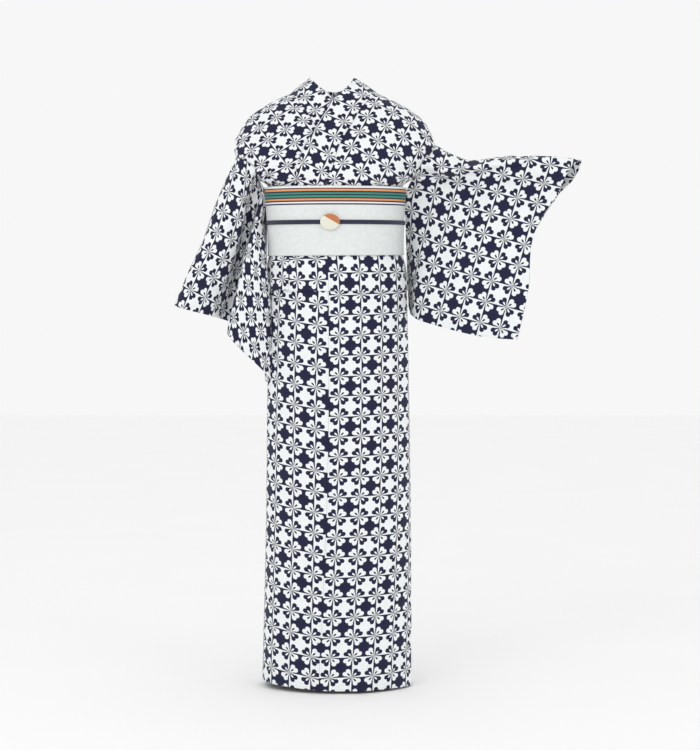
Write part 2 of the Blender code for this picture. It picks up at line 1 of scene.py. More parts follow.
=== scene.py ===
"""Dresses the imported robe: printed cotton with its seams and creases, the sash, its cord and clip."""
import math

import bmesh
import bpy
import numpy as np
from bpy.props import FloatProperty, FloatVectorProperty, PointerProperty
from mathutils import Matrix, Vector


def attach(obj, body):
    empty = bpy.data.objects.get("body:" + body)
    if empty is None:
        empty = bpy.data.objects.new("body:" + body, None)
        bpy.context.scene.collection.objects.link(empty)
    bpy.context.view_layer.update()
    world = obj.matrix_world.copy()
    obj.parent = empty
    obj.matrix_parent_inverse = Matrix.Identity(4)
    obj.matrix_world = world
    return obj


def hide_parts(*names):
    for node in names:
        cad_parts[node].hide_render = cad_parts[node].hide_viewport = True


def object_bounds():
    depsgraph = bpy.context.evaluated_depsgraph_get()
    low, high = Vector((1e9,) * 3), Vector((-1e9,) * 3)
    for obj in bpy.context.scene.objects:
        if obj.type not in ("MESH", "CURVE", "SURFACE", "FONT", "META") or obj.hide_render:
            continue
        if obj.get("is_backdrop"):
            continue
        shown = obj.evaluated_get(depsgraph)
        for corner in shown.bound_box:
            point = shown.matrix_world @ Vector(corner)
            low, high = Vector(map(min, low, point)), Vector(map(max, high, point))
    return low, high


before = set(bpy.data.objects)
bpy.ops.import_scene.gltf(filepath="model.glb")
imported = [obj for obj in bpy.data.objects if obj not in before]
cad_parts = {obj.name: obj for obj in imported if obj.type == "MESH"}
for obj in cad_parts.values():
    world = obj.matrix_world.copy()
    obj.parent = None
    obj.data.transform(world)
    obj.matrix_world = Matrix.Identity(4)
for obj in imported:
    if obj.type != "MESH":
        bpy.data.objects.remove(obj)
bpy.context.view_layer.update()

bl_info = {
    "name": "Wrapped cotton robe",
    "version": (1, 0, 0),
    "blender": (4, 5, 0),
    "location": "3D View > Sidebar > Robe",
    "description": "Makes the cloth, sash, cord and clip of a wrapped cotton summer robe",
    "category": "Add Mesh",
}

MILLIMETRE = 0.001
TURN = 360.0
ROW_STEPS = 6
PANEL_COLUMNS = 57
SKIRT_ROWS = 150
SEAM_HALF_GAP = 0.00016
# Millimetres from the body form to the middle of the cloth that lies on it.
BODY_LAYER = 0.7
BODY = "root"

# The body form, one row for each height: half width, depth in front, depth behind, middle line.
BODY_ROWS = (
    (0.0600, 0.0400, 0.040, 0.095, -0.0060),
    (0.0545, 0.0475, 0.045, 0.098, -0.0055),
    (0.0458, 0.0590, 0.052, 0.102, -0.0040),
    (0.0327, 0.0796, 0.060, 0.106, -0.0030),
    (0.0207, 0.0950, 0.066, 0.109, -0.0020),
    (0.0131, 0.1120, 0.070, 0.111, -0.0020),
    (0.0022, 0.1345, 0.075, 0.114, -0.0020),
    (-0.0174, 0.1670, 0.083, 0.117, -0.0015),
    (-0.0283, 0.1820, 0.087, 0.119, -0.0010),
    (-0.0458, 0.1975, 0.092, 0.121, 0.0000),
    (-0.0650, 0.2075, 0.096, 0.122, 0.0000),
    (-0.0830, 0.2160, 0.0995, 0.123, 0.0000),
    (-0.1000, 0.2170, 0.102, 0.123, 0.0000),
    (-0.1150, 0.2120, 0.104, 0.122, 0.0000),
    (-0.1300, 0.2020, 0.105, 0.121, 0.0000),
    (-0.1450, 0.1890, 0.106, 0.119, 0.0000),
    (-0.1570, 0.1750, 0.1055, 0.1150, 0.0000),
    (-0.1670, 0.1590, 0.1035, 0.1090, 0.0005),
    (-0.1760, 0.1460, 0.1005, 0.1025, 0.0010),
    (-0.1850, 0.1437, 0.0988, 0.0998, 0.0010),
    (-0.3240, 0.1371, 0.0980, 0.0980, 0.0016),
    (-0.3380, 0.1412, 0.1015, 0.1010, 0.0030),
    (-0.3520, 0.1440, 0.1045, 0.1035, 0.0040),
    (-0.4030, 0.1485, 0.112, 0.107, 0.0065),
    (-0.6000, 0.1530, 0.116, 0.111, 0.0070),
    (-0.8600, 0.1566, 0.118, 0.113, 0.0076),
    (-1.2800, 0.1624, 0.120, 0.115, 0.0035),
)
BODY_TABLE = np.array(BODY_ROWS)[::-1]

# Soft upright waves of the skirt: turn, width in degrees, depth in metres at the hem.
SKIRT_WAVES = (
    (-62.0, 9.0, 0.0022),
    (-28.0, 12.0, -0.0016),
    (22.0, 8.0, 0.0016),
    (52.0, 10.0, -0.0020),
    (78.0, 7.0, 0.0026),
    (128.0, 12.0, 0.0030),
    (166.0, 10.0, -0.0024),
    (212.0, 12.0, 0.0028),
    (248.0, 10.0, -0.0022),
)

# The fold of cloth that hangs out below the sash: height and layer in millimetres.
TUCK_ROWS = (
    (-0.3520, 3.0),
    (-0.3960, 3.0),
    (-0.4020, 3.2),
    (-0.4036, 4.1),
    (-0.4020, 5.0),
    (-0.3960, 5.3),
    (-0.3740, 5.3),
    (-0.3520, 5.3),
    (-0.3380, 5.3),
    (-0.3240, 5.3),
)

# Hem height against turn.
HEM_ROWS = (
    (-98.0, -1.258),
    (-88.0, -1.254),
    (-45.0, -1.258),
    (0.0, -1.263),
    (45.0, -1.264),
    (90.0, -1.268),
    (180.0, -1.268),
    (262.0, -1.260),
)
WAIST_HEIGHT = -0.262

# The armholes, from the shoulder tip down the front: turn from the side line, height.
ARMHOLE_LEFT = (
    (0.0, -0.0894),
    (8.8, -0.0967),
    (18.0, -0.1090),
    (23.0, -0.1230),
    (21.0, -0.1420),
    (14.0, -0.1560),
    (1.0, -0.1640),
)
ARMHOLE_RIGHT = (
    (0.0, -0.1134),
    (14.0, -0.1180),
    (24.0, -0.1270),
    (28.5, -0.1395),
    (23.0, -0.1510),
    (13.0, -0.1600),
    (1.0, -0.1650),
)

# The collar, from the hidden right end round the neck to the left end below the sash.
# Turn and height of the seam, turn and height of the free edge, layer in millimetres.
COLLAR_RIGHT_ROWS = (
    (20.0, -0.2500, 44.0, -0.2350, -0.4),
    (12.0, -0.2100, 33.0, -0.1900, -1.4),
    (3.6, -0.1664, 22.0, -0.1400, 0.1),
    (-1.2, -0.1355, 16.0, -0.1000, 1.3),
    (-3.6, -0.1003, 12.3, -0.0730, 1.3),
    (-12.3, -0.0493, 5.3, -0.0260, 1.3),
    (-19.8, -0.0207, -3.0, 0.0100, 1.3),
    (-46.0, 0.0150, -22.0, 0.0330, 1.3),
    (-90.0, 0.0392, -70.0, 0.0531, 1.3),
    (-132.0, 0.0180, -120.0, 0.0520, 1.3),
)
COLLAR_BACK_ROW = (-180.0, -0.0150, -180.0, 0.0330, 1.3)
COLLAR_LEFT_ROWS = (
    (132.0, 0.0180, 120.0, 0.0520, 1.3),
    (90.0, 0.0392, 66.0, 0.0522, 1.6),
    (44.0, 0.0140, 18.0, 0.0290, 3.6),
    (18.2, -0.0207, -0.5, 0.0032, 5.2),
    (10.4, -0.0493, -6.3, -0.0260, 5.2),
    (2.0, -0.1003, -13.5, -0.0730, 5.2),
    (-0.6, -0.1355, -17.3, -0.1000, 5.2),
    (-6.1, -0.1664, -24.0, -0.1400, 5.2),
    (-10.5, -0.1900, -29.5, -0.1680, 4.3),
    (-14.8, -0.2120, -36.5, -0.1900, 4.7),
    (-20.0, -0.2350, -46.0, -0.2150, 5.5),
    (-32.0, -0.2830, -67.0, -0.2750, 5.8),
    (-43.5, -0.3240, -86.5, -0.3240, 5.9),
)
COLLAR_END_HEIGHTS = (-0.331, -0.344, -0.374, -0.396, -0.4032)
COLLAR_SEAM_TURN = -43.5
COLLAR_FREE_TURN = -87.0

# The body's cloth from the sash up the front: turn at its inner seam, height there,
# height at the side, layer in millimetres at both.
BODICE_LEFT_FRONT = (
    (-7.2, -0.3240, -0.3240, 5.3, 5.3),
    (-7.2, -0.2500, -0.2500, 5.0, 3.6),
    (-7.0, -0.1850, -0.1850, 4.6, 0.7),
)
BODICE_RIGHT_FRONT = (
    (6.0, -0.2500, -0.2500, 0.7, 0.7),
    (6.0, -0.1850, -0.1850, 0.7, 0.7),
)
OVERLAP_SEAM_TURN = -7.2
BACK_TUCK_TURN = {"bodice_left": 90.0, "bodice_right": 89.0}
# Turn of the print on the front and shoulder, in degrees. It fades out towards the back.
PRINT_TILT = {"bodice_left": 27.0, "bodice_right": 30.0}

# Sleeve folds: share of the way round from the top fold to the bottom seam, then x, y, z at the
# six stations from the armhole to the cuff.
SLEEVE_STATIONS = (0.0, 0.12, 0.3, 0.55, 0.8, 1.0)
RAISED_FOLDS = (
    (0.00, ((0.2185, 0.000, -0.0900), (0.2497, -0.018, -0.1080), (0.3000, -0.040, -0.1245),
            (0.3850, -0.070, -0.1165), (0.4620, -0.092, -0.1195), (0.5245, -0.110, -0.1271))),
    (0.25, ((0.1650, 0.002, -0.1860), (0.2050, -0.006, -0.1900), (0.2620, -0.033, -0.1950),
            (0.3370, -0.068, -0.1980), (0.4150, -0.096, -0.1990), (0.4720, -0.1135, -0.2040))),
    (0.45, ((0.1690, 0.030, -0.2550), (0.1880, 0.008, -0.2600), (0.2250, -0.030, -0.2700),
            (0.2920, -0.070, -0.2780), (0.3680, -0.100, -0.2800), (0.4260, -0.118, -0.2790))),
    (0.75, ((0.1740, 0.050, -0.3650), (0.1765, 0.022, -0.3680), (0.1930, -0.032, -0.3730),
            (0.2580, -0.076, -0.3850), (0.3380, -0.106, -0.3950), (0.4115, -0.125, -0.4050))),
    (1.00, ((0.1780, 0.060, -0.4550), (0.1765, 0.024, -0.4570), (0.1800, -0.038, -0.4650),
            (0.2430, -0.079, -0.4860), (0.3300, -0.110, -0.5040), (0.3890, -0.130, -0.5080))),
)
HANGING_FOLDS = (
    (0.00, ((-0.2190, 0.000, -0.1140), (-0.2290, -0.008, -0.1480), (-0.2490, -0.025, -0.2080),
            (-0.2750, -0.043, -0.2880), (-0.3151, -0.052, -0.3726), (-0.3425, -0.060, -0.4384))),
    (0.26, ((-0.1630, 0.000, -0.1840), (-0.1750, 0.004, -0.1960), (-0.1890, 0.012, -0.2500),
            (-0.2060, 0.014, -0.3320), (-0.2240, 0.014, -0.4150), (-0.2376, 0.012, -0.4752))),
    (0.43, ((-0.1640, 0.003, -0.2200), (-0.1710, -0.006, -0.2340), (-0.1860, -0.036, -0.2780),
            (-0.2070, -0.053, -0.3540), (-0.2260, -0.054, -0.4400), (-0.2391, -0.054, -0.5039))),
    (0.60, ((-0.1650, 0.022, -0.2800), (-0.1660, 0.010, -0.2950), (-0.1640, -0.032, -0.3250),
            (-0.1640, -0.050, -0.4000), (-0.1655, -0.051, -0.4980), (-0.1680, -0.050, -0.5760))),
    (1.00, ((-0.1690, 0.065, -0.4200), (-0.1680, 0.062, -0.4450), (-0.1670, 0.056, -0.4800),
            (-0.1660, 0.040, -0.5300), (-0.1640, 0.020, -0.5780), (-0.1610, 0.004, -0.6040))),
)
ARM_RADIUS_SHOULDER = 0.038
ARM_RADIUS_CUFF = 0.033
ARM_CENTRE_SHARE = 0.10
ARM_END_SHARE = 0.25
SLEEVE_HALF_GAP = {"sleeve_left": 0.0040, "sleeve_right": 0.0024}
SLEEVE_ARMHOLE = {"sleeve_left": 0.25, "sleeve_right": 0.26}
SLEEVE_CUFF = {"sleeve_left": 0.38, "sleeve_right": 0.31}
ROOT_HALF_GAP = 0.0038
ROOT_REACH = 0.28
SLEEVE_LAYER = 2.7
# Past SIDE_TURN degrees from the middle of the front or back, and below the height SIDE_TOP, the
# bodice's print follows the cloth round. Each comes in over its fade.
SIDE_TURN = 48.0
SIDE_TURN_FADE = 12.0
SIDE_TOP = -0.08
SIDE_TOP_FADE = 0.05
# Height below which the bodice's print comes over to the tuck's level one, and how far that takes.
LEVEL_PRINT_TOP = -0.195
LEVEL_PRINT_FADE = 0.12
# How far the raised sleeve's weave is turned from level, in degrees.
RAISED_TURN = 15.7
# How far a sleeve's bag hangs in towards the body, and the share of its length over which it does.
SLEEVE_INWARD = {"sleeve_left": (0.011, 0.5), "sleeve_right": (0.012, 8.0)}
SLEEVE_COLUMNS = 90
SLEEVE_SHARES = 120
SEWN_HALF_GAP = 0.0008

SASH_HEIGHTS = (-0.1780, -0.3318)
SASH_LAYER = 9.1
SASH_THICKNESS = 0.0030
SASH_END_TURN = -21.0
CORD_HEIGHT = 0.0094
CORD_MIDDLE = -0.2573
CORD_LAYER = 12.2
CORD_THICKNESS = 0.0026
CLIP_CENTRE = (-0.0096, -0.2573)
CLIP_SIZE = (0.042, 0.0070, 0.034)
CLIP_LAYER = 13.9

# Creases on the body's cloth: turn and height of both ends, half width and rise in millimetres.
BODICE_CREASES = (
    (66.0, -0.186, 58.0, -0.140, 5.0, 3.2),
    (57.0, -0.186, 52.0, -0.150, 4.5, -2.8),
    (74.0, -0.186, 66.0, -0.146, 5.0, -3.0),
    (44.0, -0.186, 44.0, -0.160, 5.0, 1.3),
    (31.0, -0.186, 33.0, -0.166, 5.0, -1.0),
    (63.0, -0.142, 24.0, -0.176, 8.0, 1.3),
    (60.0, -0.118, 22.0, -0.140, 11.0, -1.0),
    (58.0, -0.040, 40.0, -0.092, 12.0, 1.1),
    (80.0, -0.045, 66.0, -0.104, 9.0, -1.3),
    (-66.0, -0.186, -60.0, -0.132, 5.0, 3.6),
    (-57.0, -0.186, -54.0, -0.140, 4.5, -3.4),
    (-75.0, -0.186, -68.0, -0.142, 5.0, -3.2),
    (-46.0, -0.186, -47.0, -0.156, 5.0, 1.6),
    (-35.0, -0.186, -38.0, -0.165, 5.0, -1.1),
    (-64.0, -0.136, -30.0, -0.172, 8.0, 1.2),
    (-60.0, -0.050, -42.0, -0.100, 12.0, 1.2),
    (-82.0, -0.060, -68.0, -0.112, 9.0, -1.3),
    (100.0, -0.120, 150.0, -0.176, 9.0, 1.6),
    (104.0, -0.096, 160.0, -0.130, 11.0, -1.4),
    (118.0, -0.186, 124.0, -0.140, 6.0, 2.0),
    (142.0, -0.186, 144.0, -0.150, 6.0, -1.6),
    (168.0, -0.186, 172.0, -0.145, 6.0, 1.6),
    (-100.0, -0.126, -150.0, -0.178, 9.0, 1.6),
    (-106.0, -0.098, -162.0, -0.134, 11.0, -1.4),
    (-120.0, -0.186, -126.0, -0.142, 6.0, 2.0),
    (-146.0, -0.186, -150.0, -0.150, 6.0, -1.6),
    (-112.0, -0.040, -128.0, -0.100, 12.0, 1.2),
    (112.0, -0.040, 128.0, -0.100, 12.0, 1.2),
    (8.0, -0.330, 12.0, -0.398, 6.0, 0.9),
    (34.0, -0.330, 30.0, -0.398, 7.0, -0.8),
    (58.0, -0.330, 62.0, -0.398, 6.0, 1.1),
    (76.0, -0.330, 74.0, -0.398, 5.0, -0.9),
    (120.0, -0.330, 116.0, -0.398, 7.0, 1.2),
    (150.0, -0.330, 153.0, -0.398, 7.0, -1.0),
    (-118.0, -0.330, -114.0, -0.398, 7.0, 1.2),
    (-150.0, -0.330, -153.0, -0.398, 7.0, -1.0),
)
TUCK_CREASES = (
    (-22.0, -0.330, -20.0, -0.398, 5.0, 0.7),
    (-34.0, -0.330, -36.0, -0.398, 5.0, -0.6),
)
SKIRT_CREASES = (
    (40.0, -0.420, 30.0, -0.640, 10.0, 1.4),
    (62.0, -0.420, 56.0, -0.760, 11.0, -1.5),
    (82.0, -0.420, 72.0, -0.700, 9.0, 1.6),
    (20.0, -0.415, 16.0, -0.560, 8.0, -0.9),
    (-40.0, -0.420, -36.0, -0.620, 9.0, 1.1),
    (-62.0, -0.420, -66.0, -0.800, 10.0, -1.3),
    (-80.0, -0.430, -76.0, -1.000, 10.0, 1.2),
    (48.0, -0.900, 44.0, -1.240, 14.0, 1.5),
    (-20.0, -0.860, -24.0, -1.230, 13.0, 1.2),
    (110.0, -0.420, 118.0, -0.900, 12.0, 2.0),
    (138.0, -0.420, 132.0, -0.800, 12.0, -1.8),
    (160.0, -0.420, 156.0, -1.000, 13.0, 1.8),
    (204.0, -0.420, 208.0, -0.900, 12.0, 1.9),
    (228.0, -0.420, 222.0, -0.850, 12.0, -1.8),
    (246.0, -0.420, 250.0, -1.050, 12.0, 1.8),
)
# Creases on a sleeve: share along and round at both ends, half width and rise in millimetres.
RAISED_CREASES = (
    (0.02, 0.06, 0.05, 0.24, 6.0, -4.0),
    (0.07, 0.05, 0.10, 0.20, 7.0, 3.0),
    (0.03, 0.26, 0.30, 0.24, 6.0, -3.0),
    (0.10, 0.34, 0.34, 0.86, 12.0, 2.4),
    (0.30, 0.36, 0.52, 0.92, 14.0, -2.2),
    (0.58, 0.34, 0.70, 0.88, 13.0, 1.8),
    (0.84, 0.30, 0.90, 0.80, 10.0, -1.8),
    (0.04, 0.40, 0.10, 0.90, 8.0, -3.0),
    (0.70, 0.12, 0.92, 0.20, 9.0, 1.6),
)
HANGING_CREASES = (
    (0.06, 0.04, 0.14, 0.22, 7.0, -3.0),
    (0.12, 0.02, 0.22, 0.16, 8.0, 2.4),
    (0.36, 0.03, 0.50, 0.20, 9.0, -2.0),
    (0.60, 0.03, 0.72, 0.20, 9.0, 1.8),
    (0.20, 0.50, 0.80, 0.70, 10.0, 1.8),
    (0.30, 0.68, 0.95, 0.90, 10.0, -1.8),
)

# How the print lies on each piece. Across it: stretch, lean and shift; along it: slope, stretch
# and shift. Shifts are in millimetres. The rows were worked out by a separate script, by least
# squares, from flower places read off by eye, and then rounded, but for sleeve_left's.
PRINT_PLACES = {
    "bodice_left": (1.03, 0.02, 7.0, 0.09, 1.18, 22.5),
    "bodice_right": (1.05, 0.11, 1.5, 0.18, 1.25, 10.0),
    "tuck_left": (1.00, 0.00, 41.5, 0.00, 1.00, 34.5),
    "collar": (1.00, 0.00, 28.5, 0.00, 1.15, 58.0),
    "overlap_left_upper": (1.00, 0.00, 23.0, 0.00, 1.00, 18.5),
    "skirt_front_left": (0.94, 0.00, 23.5, 0.03, 1.03, 63.0),
    "overlap_left": (0.90, 0.00, 34.5, -0.14, 1.00, 34.5),
    "sleeve_left": (0.963, 0.015, -12.5, 0.019, 0.963, -9.1),
    "sleeve_right": (0.97, -0.20, 1.5, 0.00, 1.26, -26.0),
}
# The print of every other piece is neither stretched, leant nor shifted.
PLAIN_PRINT = (1.00, 0.00, 0.0, 0.00, 1.00, 0.0)

# Stripes of the sash from its top edge: where each starts in millimetres, and its colour.
SASH_STRIPES = (
    (0.0, "white"),
    (5.6, "navy"),
    (8.6, "orange"),
    (12.8, "navy"),
    (15.8, "teal"),
    (19.6, "navy"),
    (22.4, "teal"),
    (26.4, "navy"),
    (29.2, "orange"),
    (33.0, "navy"),
    (36.0, "white"),
    (39.2, "navy"),
    (42.3, "field"),
)
SASH_STRIPES_REACH = 160.0

# One petal of the print: how fast it widens, then its places and sizes out from the flower's
# middle and to the side.
PETAL_WIDENING = 0.62
PETAL_WEDGE_END = 0.31
LOBE_CENTRE = (0.340, 0.098)
LOBE_RADII = (0.112, 0.106)
DROP_CENTRE = (0.205, 0.0)
DROP_RADII = (0.085, 0.040)
STALK_HALF_WIDTH = 0.009
STALK_END = 0.18

# Sewing, in metres: how far in from an edge each line is, and a stitch with its gap.
SEAM_GROOVE = 0.0016
SEAM_STITCHES = 0.0042
HEM_STITCHES = 0.0120
HEM_FOLD = 0.0135
STITCH_LENGTH = 0.0064

CAMERA_PLACE = (0.033, -5.0, -0.349)
# Degrees that the camera looks down.
CAMERA_DOWN = 2.75
LIGHT_AIM = (0.0, 0.0, -0.5)
# The soft lights: name, place, size and share of the key light's power.
LIGHTS = (
    ("key", (-1.6, -3.2, 1.6), (2.4, 2.4), 1.0),
    ("fill", (2.6, -2.6, 0.4), (2.0, 2.4), 0.35),
)


class RobeCloth(bpy.types.PropertyGroup):
    """Sizes and colours of the printed cotton."""

    thickness: FloatProperty(
        name="Thickness", description="Thickness of the cotton", default=0.0014, unit="LENGTH")
    collar_thickness: FloatProperty(
        name="Collar thickness", description="Thickness of the folded collar", default=0.0026,
        unit="LENGTH")
    check: FloatProperty(
        name="Check", description="Side of one square of the print", default=0.0445, unit="LENGTH")
    dark: FloatVectorProperty(
        name="Dark", description="Dark colour of the print", default=(0.011, 0.012, 0.040),
        subtype="COLOR")
    light: FloatVectorProperty(
        name="Light", description="Light colour of the print", default=(0.86, 0.885, 0.89),
        subtype="COLOR")


class RobeSash(bpy.types.PropertyGroup):
    """Colours of the sash, its cord and its clip."""

    white: FloatVectorProperty(
        name="White", description="White edge stripes", default=(0.88, 0.89, 0.89), subtype="COLOR")
    field: FloatVectorProperty(
        name="Field", description="Plain part below the stripes", default=(0.74, 0.77, 0.76),
        subtype="COLOR")
    navy: FloatVectorProperty(
        name="Navy", description="Dark stripes and the cord", default=(0.010, 0.012, 0.045),
        subtype="COLOR")
    orange: FloatVectorProperty(
        name="Orange", description="Orange stripes", default=(0.80, 0.33, 0.12), subtype="COLOR")
    teal: FloatVectorProperty(
        name="Teal", description="Green-blue stripes", default=(0.04, 0.26, 0.19), subtype="COLOR")
    clip_cream: FloatVectorProperty(
        name="Clip cream", description="Pale part of the clip", default=(0.84, 0.83, 0.70),
        subtype="COLOR")
    clip_brown: FloatVectorProperty(
        name="Clip brown", description="Orange-brown part of the clip", default=(0.42, 0.13, 0.025),
        subtype="COLOR")


class RobeStage(bpy.types.PropertyGroup):
    """Floor, lights and camera."""

    floor: FloatVectorProperty(
        name="Floor", description="Colour of the floor", default=(0.95, 0.95, 0.95), subtype="COLOR")
    ambient: FloatProperty(
        name="Ambient", description="Strength of the light from all round", default=0.93)
    key: FloatProperty(
        name="Key", description="Power of the large front light", default=22.0, unit="POWER")
    lens: FloatProperty(
        name="Lens", description="Focal length of the camera in millimetres", default=110.0)


def smooth(keys, values, places, flowing=False):
    """Cubic curve through the rows: level at their turning points, or flowing past them."""
    keys = np.asarray(keys, float)
    values = np.asarray(values, float)
    if values.ndim == 1:
        return smooth(keys, values[:, None], places, flowing)[..., 0]
    gap = np.diff(keys)[:, None]
    slope = np.diff(values, axis=0) / gap
    before, after = slope[:-1], slope[1:]
    same_way = before * after > 0
    total = np.where(same_way, before + after, 1.0)
    middle = np.where(same_way, 2 * before * after / total, 0.0)
    if flowing:
        middle = (gap[1:] * before + gap[:-1] * after) / (gap[1:] + gap[:-1])
    tangent = np.vstack([slope[:1], middle, slope[-1:]])
    places = np.clip(np.asarray(places, float), keys[0], keys[-1])
    row = np.clip(np.searchsorted(keys, places, side="right") - 1, 0, len(keys) - 2)
    step = gap[row]
    part = ((places - keys[row])[..., None]) / step
    left = (1 + 2 * part) * (1 - part) ** 2 * values[row] + part * (1 - part) ** 2 * step * tangent[row]
    right = part ** 2 * (3 - 2 * part) * values[row + 1] + part ** 2 * (part - 1) * step * tangent[row + 1]
    return left + right


def ease(value):
    """From 0 to 1 with soft ends."""
    value = np.clip(value, 0.0, 1.0)
    return value * value * (3 - 2 * value)


def skirt_wave(turn, height):
    growth = np.clip((-0.42 - height) / 0.8, 0.0, 1.0)
    total = np.zeros_like(height)
    for place, width, depth in SKIRT_WAVES:
        away = (turn - place + 180.0) % TURN - 180.0
        total = total + depth * np.exp(-(away / width) ** 2)
    return total * growth


def form_point(turn, height):
    """A point on the body form itself."""
    half_width, front, back, middle = np.moveaxis(
        smooth(BODY_TABLE[:, 0], BODY_TABLE[:, 1:], height), -1, 0)
    angle = np.radians(turn)
    depth = np.where(np.cos(angle) > 0, front, back)
    wave = skirt_wave(turn, height)
    across = middle + (half_width + wave) * np.sin(angle)
    along = -(depth + wave) * np.cos(angle)
    return np.stack([across, along, height], axis=-1)


def form_normal(turn, height):
    """The outward direction of the body form."""
    nudge_turn, nudge_height = 0.2, 0.0004
    around = form_point(turn + nudge_turn, height) - form_point(turn - nudge_turn, height)
    upward = form_point(turn, height + nudge_height) - form_point(turn, height - nudge_height)
    outward = np.cross(around, upward)
    return outward / np.linalg.norm(outward, axis=-1, keepdims=True)


def on_body(turn, height, layer):
    """A point that many millimetres outside the body form."""
    turn, height, layer = np.broadcast_arrays(
        np.asarray(turn, float), np.asarray(height, float), np.asarray(layer, float))
    return form_point(turn, height) + form_normal(turn, height) * (layer * MILLIMETRE)[..., None]


def arc_from(start, turn, height):
    """Length round the body form from one turn to another, with its sign."""
    share = np.linspace(0, 1, 21)
    path = start[..., None] + (turn - start)[..., None] * share
    points = form_point(path, np.broadcast_to(height[..., None], path.shape))
    length = np.linalg.norm(np.diff(points, axis=-2), axis=-1).sum(axis=-1)
    return length * np.sign(turn - start)


def through(rows, steps):
    """Extra rows on a smooth way through the given ones."""
    rows = np.array(rows, float)
    places = np.linspace(0, len(rows) - 1, (len(rows) - 1) * steps + 1)
    return smooth(np.arange(len(rows)), rows, places)


def even(share):
    return share


def late(share):
    """Layers stay apart near the collar and come together at the armhole."""
    return share ** 3


def early(share):
    """The underlap steps inwards just after the side seam."""
    return 1 - (1 - share) ** 14


def ruled(near, far, columns, crowd=1.0, step=even):
    """Turn, height and layer all over a panel, between its two long edges."""
    near, far = np.asarray(near, float), np.asarray(far, float)
    width = np.linalg.norm(on_body(*near.T) - on_body(*far.T), axis=-1)
    trim = np.minimum(SEAM_HALF_GAP / np.maximum(width, 0.001), 0.2)[:, None]
    share = np.linspace(0, 1, columns)[None, :] ** crowd
    share = trim + (1 - 2 * trim) * share
    place = near[:, None, :2] + (far - near)[:, None, :2] * share[..., None]
    layer = near[:, None, 2] + (far - near)[:, None, 2] * step(share)
    return np.dstack([place, layer])


def crease_rise(points, starts, ends, half_widths, rises):
    """Soft troughs and ridges in millimetres round straight lines between two points."""
    total = np.zeros(points.shape[:2])
    for start, end, half_width, rise in zip(starts, ends, half_widths, rises):
        line = end - start
        part = np.clip((points - start) @ line / (line @ line), 0, 1)
        away = np.linalg.norm(points - start - part[..., None] * line, axis=-1)
        fade = np.sin(math.pi * (0.12 + 0.76 * part)) ** 0.6
        total += rise * fade * np.exp(-(away / (half_width * MILLIMETRE)) ** 2)
    return total


def uneven(points, amount):
    """Slow, small unevenness of hanging cloth, in millimetres."""
    x, y, z = np.moveaxis(points * TURN / 57.3, -1, 0)
    waves = np.sin(7.1 * z + 3.3 * x + 1.0) * np.sin(9.7 * x - 4.1 * y)
    waves = waves + 0.6 * np.sin(17.0 * x + 6.0 * y - 5.0 * z) * np.sin(4.0 * z + 2.0)
    return amount * waves


def laid_on_body(panel, creases, amount):
    """Points of a panel on the body with its creases, which fade at its edges."""
    flat = on_body(*np.moveaxis(panel, -1, 0))
    table = np.array(creases)
    middle = float(panel[..., 2].mean())
    starts, ends = on_body(table[:, 0], table[:, 1], middle), on_body(table[:, 2], table[:, 3], middle)
    rise = crease_rise(flat, starts, ends, table[:, 4], table[:, 5])
    rise = rise + uneven(flat, amount)
    rise = rise * edge_fade(panel.shape[:2])
    return on_body(panel[..., 0], panel[..., 1], panel[..., 2] + rise)


def edge_fade(shape):
    """0 at the two long edges and 1 a little way in."""
    across = np.linspace(0, 1, shape[1])
    return np.broadcast_to(ease(np.minimum(across, 1 - across) / 0.07), shape)


def running_length(points, axis):
    """Length in metres along the rows or columns of points, from 0 at the first."""
    steps = np.linalg.norm(np.diff(points, axis=axis), axis=-1)
    start = np.zeros_like(np.take(steps, [0], axis=axis))
    return np.concatenate([start, steps.cumsum(axis=axis)], axis=axis)


def edge_places(points):
    """Distance to the nearest long edge, and to the last row, in metres."""
    across, along = running_length(points, 1), running_length(points, 0)
    nearest = np.minimum(across, across[:, -1:] - across)
    return np.dstack([nearest, along[-1:] - along])


def set_map(mesh, name, places):
    layer = mesh.uv_layers.new(name=name)
    corners = np.zeros(len(mesh.loops), int)
    mesh.loops.foreach_get("vertex_index", corners)
    layer.data.foreach_set("uv", places.reshape(-1, 2)[corners].astype(np.float32).ravel())


def lay_print(name, place):
    """The place on the print of each point, from its place on the flat cloth."""
    stretch_across, lean, across, slope, stretch_along, along = PRINT_PLACES.get(name, PLAIN_PRINT)
    first = stretch_across * place[..., 0] + lean * place[..., 1] + across * MILLIMETRE
    second = slope * place[..., 0] + stretch_along * place[..., 1] + along * MILLIMETRE
    return np.dstack([first, second])


def grid_mesh(name, points, place, facing=(0, 1, 2, 3)):
    """A mesh of squares between rows of points, with its place on the flat cloth as its map."""
    rows, columns = points.shape[:2]
    corner = (np.arange(rows - 1)[:, None] * columns + np.arange(columns - 1)).ravel()
    faces = np.column_stack([corner, corner + 1, corner + columns + 1, corner + columns])
    mesh = bpy.data.meshes.new(name)
    mesh.from_pydata(points.reshape(-1, 3).tolist(), [], faces[:, facing].tolist())
    set_map(mesh, "cloth", place)
    return mesh


def add_piece(node, mesh, finish):
    """Shows a mesh in place of its node of the frame."""
    mesh.shade_smooth()
    mesh.materials.append(finish)
    item = bpy.data.objects.new(mesh.name, mesh)
    bpy.context.scene.collection.objects.link(item)
    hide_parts(node)
    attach(item, BODY)
    return item


